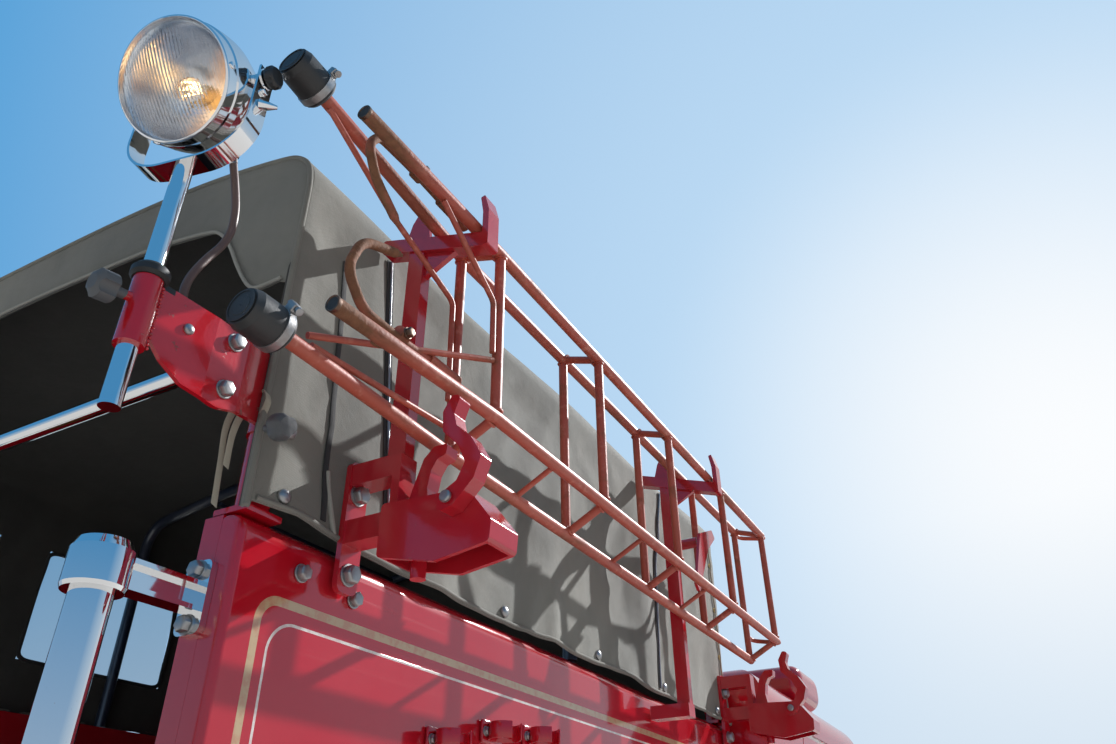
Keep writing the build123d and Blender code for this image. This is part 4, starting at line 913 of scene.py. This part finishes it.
def makeCanvasTrim(v, trim):
    # Bindings, piping, black webbing lines, studs, window frames and films
    trims = []
    edge = [Vector((x, v["rear"] + 0.001, z)) for t, x, z in valanceEdge[2:]]
    edge += [Vector((-p.x, p.y, p.z)) for p in reversed(edge[:-1])]
    trims.append(tube("valance_binding", edge, 0.0026, "binding", "root", round_=2))
    section = [sectionAt(halfRound * 2 * k / 60) for k in range(61)]
    seam = [Vector((x, v["rear"] - 0.001, z)) for x, z in section]
    trims.append(tube("corner_piping", seam, 0.0038, "canvas", "root", round_=2))
    for side in (-1, 1):
        low = v["base"] + 0.004
        hem = [canvasSide(v["rear"] - 0.012 - 1.575 * k / 60, low, 0.0005, side) for k in range(61)]
        name = "hem_binding_" + ("left" if side > 0 else "right")
        trims.append(tube(name, hem, 0.0032, "canvas", "root", round_=2))
    for k, ((y0, z0), (y1, z1)) in enumerate(trim["zips"]):
        line = [canvasSide(y0 + (y1 - y0) * n / 12, z0 + (z1 - z0) * n / 12, 0.0016) for n in range(13)]
        band = strip(line, (0, 0.016 if k < 2 else 0.009, 0), 0.0016)
        settle(band, "zip_band_%d" % k, "zip", "root", 40)
        if k < 2:
            teeth = [p + Vector((-0.0016, 0, 0)) for p in line]
            trims.append(tube("zip_teeth_%d" % k, teeth, 0.0021, "steel", "root", round_=1))
    slit = [canvasSide(y, z, 0.001) for y, z in trim["slit"]]
    trims.append(tube("slit_binding", slit, 0.0036, "binding", "root", round_=2))
    button = stud(0.0088)
    spots = []
    for y in trim["studs"]:
        spots += [frameAt(canvasSide(y, trim["studZ"], 0.0008, side), (side, 0, 0)) for side in (-1, 1)]
    spots += [frameAt(canvasSide(y, z, 0.0008), (-1, 0, 0)) for y, z in trim["loose"]]
    spread(button, spots, "canvas_studs", "steel", "root")
    drop(button)
    for n, (low, high) in enumerate(v["windows"]):
        frameLine = [(low, v["sill"]), (high, v["sill"]), (high, v["head"]), (low, v["head"])]
        ring = []
        for (y0, z0), (y1, z1) in zip(frameLine, frameLine[1:] + frameLine[:1]):
            ring += [canvasSide(y0 + (y1 - y0) * k / 6, z0 + (z1 - z0) * k / 6, 0.0, 1) for k in range(6)]
        trims.append(tube("window_binding_%d" % n, ring, 0.005, "zip", "root", round_=2,
                          cyclic=True))
        deselectAll()
        bpy.ops.mesh.primitive_grid_add(x_subdivisions=14, y_subdivisions=10, size=1)
        pane = bpy.context.object
        for vertex in pane.data.vertices:
            y = low + (high - low) * (vertex.co.x + 0.5)
            z = v["sill"] + (v["head"] - v["sill"]) * (vertex.co.y + 0.5)
            ripple = 0.0015 * noise.noise(Vector((y * 9, z * 9, n)))
            vertex.co = Vector((0.6535 + ripple, y, z))
        finishStack(pane, [("SOLIDIFY", {"thickness": 0.001, "offset": 0})])
        settle(pane, "window_film_%d" % n, "film", "root", 60)
    lace = []
    for k in range(15):
        lace.append(canvasSide(0.432 + 0.014 * (k % 2), 2.06 - 0.030 * k, 0.003))
    trims.append(tube("side_lacing", lace, 0.0022, "cotton", "root", round_=2))
    eyelet = lathe([(0.0065, 0), (0.0065, 0.0012), (0.0038, 0.0016), (0.0034, 0.0002)], 16)
    spots = [frameAt(canvasSide(0.440, 2.055 - 0.06 * k, 0.001), (-1, 0, 0)) for k in range(8)]
    spread(eyelet, spots, "lace_eyelets", "brass", "root")
    drop(eyelet)
    return trims


canvasTrims = makeCanvasTrim(canvas, canvasTrim)
print("canvas trims", len(canvasTrims))


# Searchlight: fluted lens, silvered bowl, bulb, screws, and its strap's washers
lampParts = {"lensRadius": 0.0686, "rise": 0.010, "seat": 0.060, "flutes": 0.0042, "fluteDepth": 0.00045}


def makeLens(v):
    rim, rise = v["lensRadius"], v["rise"]
    ball = (rim * rim + rise * rise) / (2 * rise)
    steps, rings = 220, 44
    lens = lathe([(rim * (1 - k / rings * 0.992), 0) for k in range(rings + 1)], steps, closeStart=False)
    for vertex in lens.data.vertices:
        away = math.hypot(vertex.co.x, vertex.co.y)
        dome = v["seat"] + rise - ball + math.sqrt(max(0.0, ball * ball - away * away))
        lean = vertex.co.x * math.cos(0.14) + vertex.co.y * math.sin(0.14)
        wave = math.cos(2 * math.pi * lean / v["flutes"])
        zone = 1.0 if abs(vertex.co.y) > 0.018 else 0.55
        edge = min(1.0, max(0.0, (rim - away) / 0.004))
        vertex.co.z = dome - 0.0012 + v["fluteDepth"] * wave * zone * edge
    inward = -1 if lens.data.polygons[0].normal.z > 0 else 1
    finishStack(lens, [("SOLIDIFY", {"thickness": 0.003, "offset": inward})])
    put(lens, lampFrame)
    settle(lens, "lamp_lens", "lens", "lamp", 70)
    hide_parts("searchlight_glass")
    bowl = lathe([(0.0664, 0.0535), (0.0636, 0.044), (0.0596, 0.034), (0.0536, 0.0225), (0.0466, 0.011),
                  (0.0385, 0.001), (0.030, -0.0055), (0.020, -0.0095), (0.012, -0.0115)], 72,
                 closeStart=False)
    put(bowl, lampFrame)
    settle(bowl, "lamp_reflector", "reflector", "lamp", 60)
    finishStack(bowl, [("SOLIDIFY", {"thickness": 0.0006, "offset": 0})])
    socket = lathe([(0.0125, -0.0115), (0.0125, 0.002), (0.0105, 0.004), (0.0105, 0.008), (0.008, 0.009)], 24)
    put(socket, lampFrame)
    settle(socket, "bulb_socket", "brass", "lamp", 35)
    bulb = lathe([(0.0075, 0.009), (0.0078, 0.013), (0.0105, 0.018), (0.0128, 0.024), (0.0128, 0.029),
                  (0.0105, 0.034), (0.006, 0.0375), (0.001, 0.0385)], 28)
    put(bulb, lampFrame)
    settle(bulb, "bulb", "bulb", "lamp", 60)
    coil = []
    for k in range(13):
        turn = k * 1.3
        coil.append(lampFrame @ Vector((0.0045 * math.cos(turn), -0.006 + 0.001 * k,
                                        0.025 + 0.0016 * math.sin(turn))))
    tube("bulb_filament", coil, 0.0006, "filament", "lamp", round_=2, steps=3)


def makeLampTrim():
    # Screws in the rim, and the nut and washers at the pivots
    screw = lathe([(0.0042, 0), (0.0042, 0.0012), (0.0030, 0.0022), (0.0006, 0.0025)], 16)
    spots = []
    for turn in (-60, 60, 180):
        a = math.radians(turn)
        out = Vector((math.cos(a), math.sin(a), 0))
        spots.append(lampFrame @ frameAt(out * 0.0714 + Vector((0, 0, 0.052)), out, (0, 0, 1)))
    spread(screw, spots, "rim_screws", "chrome", "lamp")
    nut = hexBolt(0.015, 0.006)
    right, left = lampPivot - lampAcross * 0.0800, lampPivot + lampAcross * 0.0800
    spot = frameAt(lampPivot + lampAcross * 0.0836, lampAcross)
    spread(nut, [spot], "pivot_nut", "chrome", "mast", 30)
    washer = lathe([(0.0125, 0), (0.0125, 0.0014), (0.0115, 0.0019)], 28)
    spots = [frameAt(right, -lampAcross), frameAt(left, lampAcross)]
    spread(washer, spots, "pivot_washers", "chrome", "mast", 30)
    spot = frameAt(right + Vector((0, 0, -0.022)), -lampAcross) @ Matrix.Scale(0.5, 4)
    spread(nut, [spot], "strap_screw", "chrome", "mast", 30)
    drop(screw, nut, washer)


makeLens(lampParts)
makeLampTrim()
print("searchlight")
# Ladder: open rail ends, beads of weld and the bands of its caps, in the crew body's millimetres
ladderFit = {"outer": -825, "inner": -757, "outerZ": (1662, 1928), "innerZ": (1626, 1950),
             "stations": (1780, 1462, 1146, 830, 516),
             "ends": (((1780, 1662), (2081, 1645)), ((1860, 1928), (2081, 1922))),
             "tips": (((1780, 1626), (2097, 1633.5)), ((1780, 1950), (2107, 1984.5)))}


def crewAt(x, y, z):
    return Vector((x, y, z + 100)) / 1000


def makeLadderTrim(v):
    rim = lathe([(0.0091, -0.004), (0.0095, -0.001), (0.0093, 0.0008), (0.0075, 0.0010),
                 (0.0072, 0.0002)], 24, closeStart=False, closeEnd=False)
    hole = lathe([(0.0074, 0.0001), (0.0072, 0.0003)], 20)
    ends = []
    for before, end in v["ends"]:
        spot = crewAt(v["outer"], *end)
        ends.append(frameAt(spot, spot - crewAt(v["outer"], *before)))
    spread(rim, ends, "rail_rims", "rusty", "root", 40)
    spread(hole, ends, "rail_bores", "rubber", "root", 40)
    deselectAll()
    bpy.ops.mesh.primitive_torus_add(major_radius=0.0080, minor_radius=0.0021,
                                     major_segments=18, minor_segments=6)
    bead = bpy.context.object
    spots = []
    for y in v["stations"]:
        for x, levels in ((v["outer"], v["outerZ"]), (v["inner"], v["innerZ"])):
            spots.append(frameAt(crewAt(x, y, levels[0] + 8.6), (0, 0, 1)))
            spots.append(frameAt(crewAt(x, y, levels[1] - 8.6), (0, 0, 1)))
        for a, b in zip(v["outerZ"], v["innerZ"]):
            start, end = crewAt(v["outer"], y, a), crewAt(v["inner"], y, b)
            way = (end - start).normalized()
            spots += [frameAt(start + way * 0.0086, way), frameAt(end - way * 0.0086, way)]
    spread(bead, spots, "ladder_welds", "ladder", "root", 60)
    bolt = hexBolt(0.011, 0.005)
    spots = [frameAt(crewAt(-800.6, 1936, z), (-1, 0, 0)) for z in (1967, 1705)]
    spread(bolt, spots, "hook_bolts", "rusty", "root", 30)
    drop(rim, hole, bead, bolt)
    makeCapTrim(v)


def makeCapTrim(v):
    bands, screws, rings = [], [], []
    band = lathe([(0.0225, -0.0050), (0.0252, -0.0046), (0.0252, 0.0046), (0.0225, 0.0050)], 48,
                 closeStart=False, closeEnd=False)
    lug = roundBox((0.010, 0.014, 0.010), (0.029, 0, 0), 0.0015)
    screw = lathe([(0.0028, -0.012), (0.0028, 0.010), (0.0042, 0.010), (0.0042, 0.014), (0.0020, 0.0145)], 14)
    ring = lathe([(0.0185, 0.0), (0.0185, 0.0008), (0.0165, 0.0009), (0.0165, 0.0001), (0.0120, 0.0001),
                  (0.0115, 0.0006), (0.0010, 0.0007)], 40, closeStart=False, closeEnd=False)
    for before, end in v["tips"]:
        tip = crewAt(v["inner"], *end)
        axis = (tip - crewAt(v["inner"], *before)).normalized()
        start = tip - axis * 0.020
        place = frameAt(start + axis * 0.011, axis, (-0.75, 0, 0.66))
        bands.append(place)
        screws.append(place @ Matrix.Translation((0.030, 0, 0)) @ Matrix.Rotation(math.radians(90), 4, "X"))
        rings.append(frameAt(start + axis * 0.0551, axis))
    spread(band, bands, "cap_bands", "steel", "root", 40)
    spread(lug, bands, "cap_lugs", "steel", "root", 30)
    spread(screw, screws, "cap_screws", "steel", "root", 40)
    spread(ring, rings, "cap_rings", "rubber", "root", 40)
    drop(band, lug, screw, ring)


makeLadderTrim(ladderFit)
print("ladder trim")


# Bolts, welds, ties and small clamps of the right-hand side
fittings = {"bracketBolts": ((-0.6634, 2.058, 1.765), (-0.6634, 2.059, 1.705)),
            "plateScrew": (-0.6637, 2.117, 1.747), "clampX": -0.664,
            "clampBolts": ((1.836, 1.668), (1.836, 1.568), (0.460, 1.668), (0.460, 1.568)),
            "sideX": -0.651, "sideBolts": ((1.808, 1.5485), (1.897, 1.555)),
            "railX": 0.610, "railY": 1.998, "railBolts": (1.536, 1.480, 1.058, 1.002),
            "latchX": -0.836, "latchZ": 1.610, "latchPins": (1.889, 0.513),
            "toolClamps": ((1.499, 1.442), (1.387, 1.450), (1.623, 1.416))}


def makeBolts(v):
    outward = (-1, 0, 0)
    small, large = hexBolt(0.0155, 0.007), hexBolt(0.0200, 0.009)
    spots = [frameAt(spot, outward, (0, 0.3, 1)) for spot in v["bracketBolts"]]
    spread(small, spots, "bracket_bolts", "steel", "root", 30)
    spots = [frameAt((v["clampX"], y, z), outward, (0, 0.2 + y, 1)) for y, z in v["clampBolts"]]
    spread(large, spots, "clamp_bolts", "steel", "root", 30)
    spots = [frameAt((v["sideX"], y, z), outward, (0, 0.5, 1)) for y, z in v["sideBolts"]]
    for side in (-1, 1):
        spots += [frameAt((side * v["railX"], v["railY"], z), (0, 1, 0), (1, 0, 0.4)) for z in v["railBolts"]]
    spread(small, spots, "side_bolts", "steel", "root", 30)
    screw = stud(0.0062)
    spread(screw, [frameAt(v["plateScrew"], outward)], "plate_screw", "steel", "root", 40)
    pin = lathe([(0.0070, 0), (0.0070, 0.003), (0.0055, 0.0045), (0.0010, 0.0048)], 20)
    spots = [frameAt((v["latchX"], y, v["latchZ"]), (0, 1, 0)) for y in v["latchPins"]]
    spread(pin, spots, "latch_pins", "steel", "root", 40)
    deselectAll()
    bpy.ops.mesh.primitive_ico_sphere_add(subdivisions=2, radius=0.0019)
    dot = bpy.context.object
    spots = [frameAt((-0.6668, 2.1565 + 0.0006 * (k % 3), 1.699 + 0.0042 * k), outward) for k in range(18)]
    spread(dot, spots, "socket_weld", "bracket", "root", 80)
    drop(small, large, screw, pin, dot)


# Cotton tapes: a ring round the rear post, with the points of each loose tail
ties = {"post": (-0.628, 1.962), "ring": 0.0235, "height": 1.724, "thick": 0.0012,
        "knot": (-0.641, 1.986, 1.723),
        "tails": (((-0.640, 1.985, 1.724), (-0.628, 2.004, 1.728), (-0.615, 2.008, 1.700),
                   (-0.611, 2.002, 1.655), (-0.609, 1.997, 1.608)),
                  ((-0.641, 1.986, 1.722), (-0.634, 2.002, 1.716), (-0.626, 2.006, 1.690),
                   (-0.622, 2.003, 1.648)),
                  ((-0.640, 1.985, 1.723), (-0.652, 1.996, 1.738), (-0.664, 1.999, 1.722),
                   (-0.652, 1.994, 1.708), (-0.641, 1.986, 1.720)),
                  ((-0.641, 1.985, 1.724), (-0.634, 1.999, 1.744), (-0.622, 2.004, 1.742),
                   (-0.628, 1.998, 1.724), (-0.640, 1.986, 1.722)))}


def makeTies(v):
    ring = []
    for a in (math.pi * k / 6 for k in range(12)):
        ring.append((v["post"][0] + v["ring"] * math.cos(a), v["post"][1] + v["ring"] * math.sin(a),
                     v["height"] + 0.003 * math.sin(a * 2)))
    tapes = [strip([Vector(p) for p in ring + ring[:1]], (0, 0, 0.011), v["thick"])]
    for tail in v["tails"]:
        tapes.append(strip([Vector(p) for p in smoothLine(tail, 9)], (0.0035, 0.0060, 0.0050), v["thick"]))
    knot = roundBox((0.016, 0.015, 0.015), v["knot"], 0.005)
    joined(tapes + [knot], "post_ties", "cotton", "root", 50)


def smoothLine(points, steps):
    # Points along a Catmull-Rom line
    spots = [Vector(p) for p in points]
    spots = [spots[0] * 2 - spots[1]] + spots + [spots[-1] * 2 - spots[-2]]
    line = []
    for a, b, c, d in zip(spots, spots[1:], spots[2:], spots[3:]):
        for k in range(steps):
            t = k / steps
            line.append(0.5 * (2 * b + (c - a) * t + (2 * a - 5 * b + 4 * c - d) * t * t
                               + (3 * b - a - 3 * c + d) * t ** 3))
    return line + [spots[-2]]


def makeKnob(spot, facing):
    # Three-lobed knob of the rear post's clamp
    knob = lathe([(0.0045, 0), (0.0045, 0.014), (0.0125, 0.016), (0.0155, 0.021), (0.0150, 0.034),
                  (0.0110, 0.040), (0.0020, 0.041)], 36)
    for vertex in knob.data.vertices:
        if vertex.co.z > 0.0155:
            turn = 1 - 0.20 * max(0.0, math.cos(3 * math.atan2(vertex.co.y, vertex.co.x)))
            vertex.co.x *= turn
            vertex.co.y *= turn
    put(knob, frameAt(spot, facing))
    settle(knob, "post_knob", "plastic", "root", 40)


def makeToolClamps(v):
    # Spring clamps on the right panel, low behind the ladder's rear foot
    parts = []
    for y, z in v["toolClamps"]:
        parts.append(roundBox((0.005, 0.052, 0.030), (-0.6535, y, z), 0.002))
        for side in (-1, 1):
            jaw = []
            for k in range(5):
                apart = 0.010 + 0.016 * math.sin(k * 0.75)
                jaw.append(Vector((-0.655 - 0.010 * k, y + side * apart, z)))
            parts.append(strip(smoothLine(jaw, 4), (0, 0, 0.022), 0.0022))
    joined(parts, "tool_clamps", "red", "root", 40)
    bolt = hexBolt(0.010, 0.004)
    spots = []
    for y, z in v["toolClamps"]:
        spots += [frameAt((-0.656, y + side * 0.019, z), (-1, 0, 0)) for side in (-1, 1)]
    spread(bolt, spots, "tool_clamp_bolts", "steel", "root", 30)
    drop(bolt)


makeBolts(fittings)
makeTies(ties)
makeKnob((-0.668, 1.998, 1.686), (-1, 0.1, -0.25))
makeToolClamps(fittings)
print("fittings")


# Wheel nuts, headlamps, hoses and the padded seats
def makeWheelNuts(v):
    nut = hexBolt(0.021, 0.010)
    for end in ("front", "rear"):
        x, y = v[end]
        for side, name in ((1, "left"), (-1, "right")):
            spots = []
            for k in range(v["nuts"]):
                turn = 2 * math.pi * k / v["nuts"]
                spot = (side * x + side * v["face"], y + v["nutCircle"] * math.cos(turn),
                        v["height"] + v["nutCircle"] * math.sin(turn))
                spots.append(frameAt(spot, (side, 0, 0)))
            wheel = "wheel_%s_%s" % (end, name)
            spread(nut, spots, "nuts_" + wheel, "chrome", wheel, 30)
    drop(nut)


def makeHeadlamps(x, y, z):
    for side, name in ((1, "left"), (-1, "right")):
        place = frameAt((side * x, y, z), (0, -1, 0))
        bowl = lathe([(0.0848, 0.0442), (0.076, 0.0365), (0.060, 0.0262), (0.034, 0.0195),
                      (0.010, 0.0172)], 48, closeStart=False)
        settle(put(bowl, place), "headlamp_bowl_" + name, "chrome", "root", 60)
        bulb = lathe([(0.008, 0.017), (0.008, 0.022), (0.011, 0.028), (0.009, 0.036), (0.001, 0.040)], 20)
        settle(put(bulb, place), "headlamp_bulb_" + name, "bulb", "root", 60)


hose = {"axes": (0.712, 0.812), "height": 1.550, "from": 0.62, "to": 1.80, "radius": 0.0415, "pitch": 0.012}


def makeHose(v):
    # Wire-wound ribs along both suction hoses
    deselectAll()
    bpy.ops.mesh.primitive_torus_add(major_radius=v["radius"], minor_radius=0.0030,
                                     major_segments=28, minor_segments=6)
    rib = bpy.context.object
    start, end = v["from"], v["to"]
    count = int((end - start) / v["pitch"])
    for x, name in zip(v["axes"], ("inner", "outer")):
        spots = [frameAt((x, start + k * v["pitch"], v["height"]), (0, 1, 0)) for k in range(count + 1)]
        spread(rib, spots, "hose_ribs_" + name, "hose", "root", 80)
    drop(rib)


# A smaller closed form is blown up as cloth, then channels are pressed in along its length
# as (axis, pitch, 0 on the top or 1 on the front)
seats = {"bench_right": {"low": (-0.612, 0.455, 1.2805), "high": (-0.262, 1.655, 1.345),
                         "channels": (1, 0.150, 0)},
         "bench_left": {"low": (0.262, 0.455, 1.2805), "high": (0.612, 1.655, 1.345),
                        "channels": (1, 0.150, 0)},
         "cab_cushion": {"low": (-0.66, -0.33, 0.80), "high": (0.66, 0.15, 0.92), "channels": (0, 0.110, 0)},
         "cab_back": {"low": (-0.66, 0.16, 0.90), "high": (0.66, 0.28, 1.40), "channels": (0, 0.110, 1)}}


def makeSeat(name, v, voxel=0.009, cap=0.014):
    low, high = Vector(v["low"]), Vector(v["high"])
    middle, size = (low + high) / 2, high - low - Vector((0.010, 0.010, 0.010))
    pad = roundBox(size, middle, 0.018, 4)
    pick(pad)
    finishStack(pad, [("REMESH", {"mode": "VOXEL", "voxel_size": voxel})])
    start = [vertex.co.copy() for vertex in pad.data.vertices]
    cloth = pad.modifiers.new("cloth", "CLOTH")
    cloth.settings.use_pressure = True
    cloth.settings.uniform_pressure_force = 4
    cloth.settings.effector_weights.gravity = 0
    cloth.point_cache.frame_start, cloth.point_cache.frame_end = 1, 20
    for frame in range(1, 21):
        bpy.context.scene.frame_set(frame)
    pick(pad)
    bpy.ops.object.modifier_apply(modifier="cloth")
    bpy.context.scene.frame_set(1)
    for vertex, before in zip(pad.data.vertices, start):
        move = vertex.co - before
        if move.length > cap:
            vertex.co = before + move * (cap / move.length)
        vertex.co.z = max(vertex.co.z, low.z) if v["channels"][2] == 0 else vertex.co.z
    finishStack(pad, [("SUBSURF", {"levels": 1, "render_levels": 1})])
    axis, pitch, face = v["channels"]
    for vertex in pad.data.vertices:
        # Channels fade out towards the flat side
        if face == 0:
            lift = (vertex.co.z - low.z) / (high.z - low.z)
        else:
            lift = (high.y - vertex.co.y) / (high.y - low.y)
        away = (vertex.co[axis] - middle[axis]) / pitch
        near = abs(away - round(away)) * pitch
        edge = min(1.0, max(0.0, min(vertex.co[axis] - low[axis], high[axis] - vertex.co[axis]) / 0.05))
        press = 0.009 * math.exp(-(near / 0.007) ** 2) * min(1.0, max(0.0, lift * 2 - 0.7)) * edge
        vertex.co[2 if face == 0 else 1] += press * (-1 if face == 0 else 1)
    settle(pad, name, "leather", "root", 60)
    return pad


def makeSeats(v):
    pads = {name: makeSeat(name, settings) for name, settings in v.items()}
    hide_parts("bench_cushions")
    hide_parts("bench_cushions")
    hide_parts("cab_seat_cushion")
    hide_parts("cab_seat_back")


makeWheelNuts(wheels)
makeHeadlamps(0.430, -1.950, 0.900)
makeHose(hose)
print("wheels, lamps and hoses")
makeSeats(seats)
print("seats")


# Sun, sky and floor
light = {"sun": 5.0, "sunFrom": (-0.30, -0.76, 0.58), "soft": 0.6, "fill": 0.30,
         "floor": (0.62, 0.61, 0.59, 1)}


def makeStage(v):
    deselectAll()
    bpy.ops.mesh.primitive_plane_add(size=60, location=(0, 0, 0))
    floor = bpy.context.object
    floor.name = "floor"
    f = Finish("floor concrete")
    f.place = f.add("ShaderNodeTexCoord", output="Object")
    base = f.blend(f.cloud(0.6, 6) * 0.4, v["floor"], [c * 0.9 for c in v["floor"][:3]] + [1])
    floor.data.materials.append(f.done(f.surface(Base_Color=base, Roughness=0.85,
                                                 Normal=f.bump(f.cloud(30, 5), 0.002, 0.3))))
    data = bpy.data.lights.new("sun", "SUN")
    data.energy = v["sun"]
    data.angle = math.radians(v["soft"])
    sun = bpy.data.objects.new("sun", data)
    sun.rotation_euler = Vector(v["sunFrom"]).to_track_quat("Z", "Y").to_euler()
    bpy.context.collection.objects.link(sun)


def makeSky(v):
    # The camera, mirrors and glass see a blue sky, white towards the sun; the light itself is plain
    world = bpy.data.worlds.new("sky")
    bpy.context.scene.world = world
    world.use_nodes = True
    world.node_tree.nodes.clear()
    f = Finish.__new__(Finish)
    f.tree = world.node_tree
    f.place = f.add("ShaderNodeTexCoord", output="Generated")
    x, y, z = f.axes()
    toSun = Vector((-0.127, -0.915, 0.382)).normalized()
    near = x * toSun.x + y * toSun.y + z * toSun.z
    sky = f.blend(near.step(0.30, 0.96), tint(0.075, 0.34, 0.68), tint(0.54, 0.73, 0.92))
    glare = near.step(0.88, 1.0)
    sky = f.blend(glare * glare, sky, tint(0.96, 0.98, 1.0))
    sky = f.blend((1 - z.step(-0.02, 0.34)) * 0.8, sky, tint(0.70, 0.78, 0.86))
    seen = f.add("ShaderNodeLightPath")
    outputs = seen.socket.node.outputs
    paths = [Wire(f, outputs[key]) for key in ("Is Camera Ray", "Is Glossy Ray", "Is Transmission Ray")]
    open_ = (paths[0] + paths[1] + paths[2]).below(1)
    # Mirrors see it darker, as against the low sun in the photograph
    sky = f.blend(paths[1] * 0.25, sky, tint(0.05, 0.09, 0.15))
    colour = f.blend(open_, tint(0.80, 0.86, 0.95), sky)
    strength = open_ * (1 - v["fill"]) + v["fill"]
    background = f.add("ShaderNodeBackground", (), {"Color": colour, "Strength": strength})
    f.add("ShaderNodeOutputWorld", (), [background])


makeStage(light)
makeSky(light)
bpy.context.scene.view_settings.view_transform = "Standard"
print("stage and light")
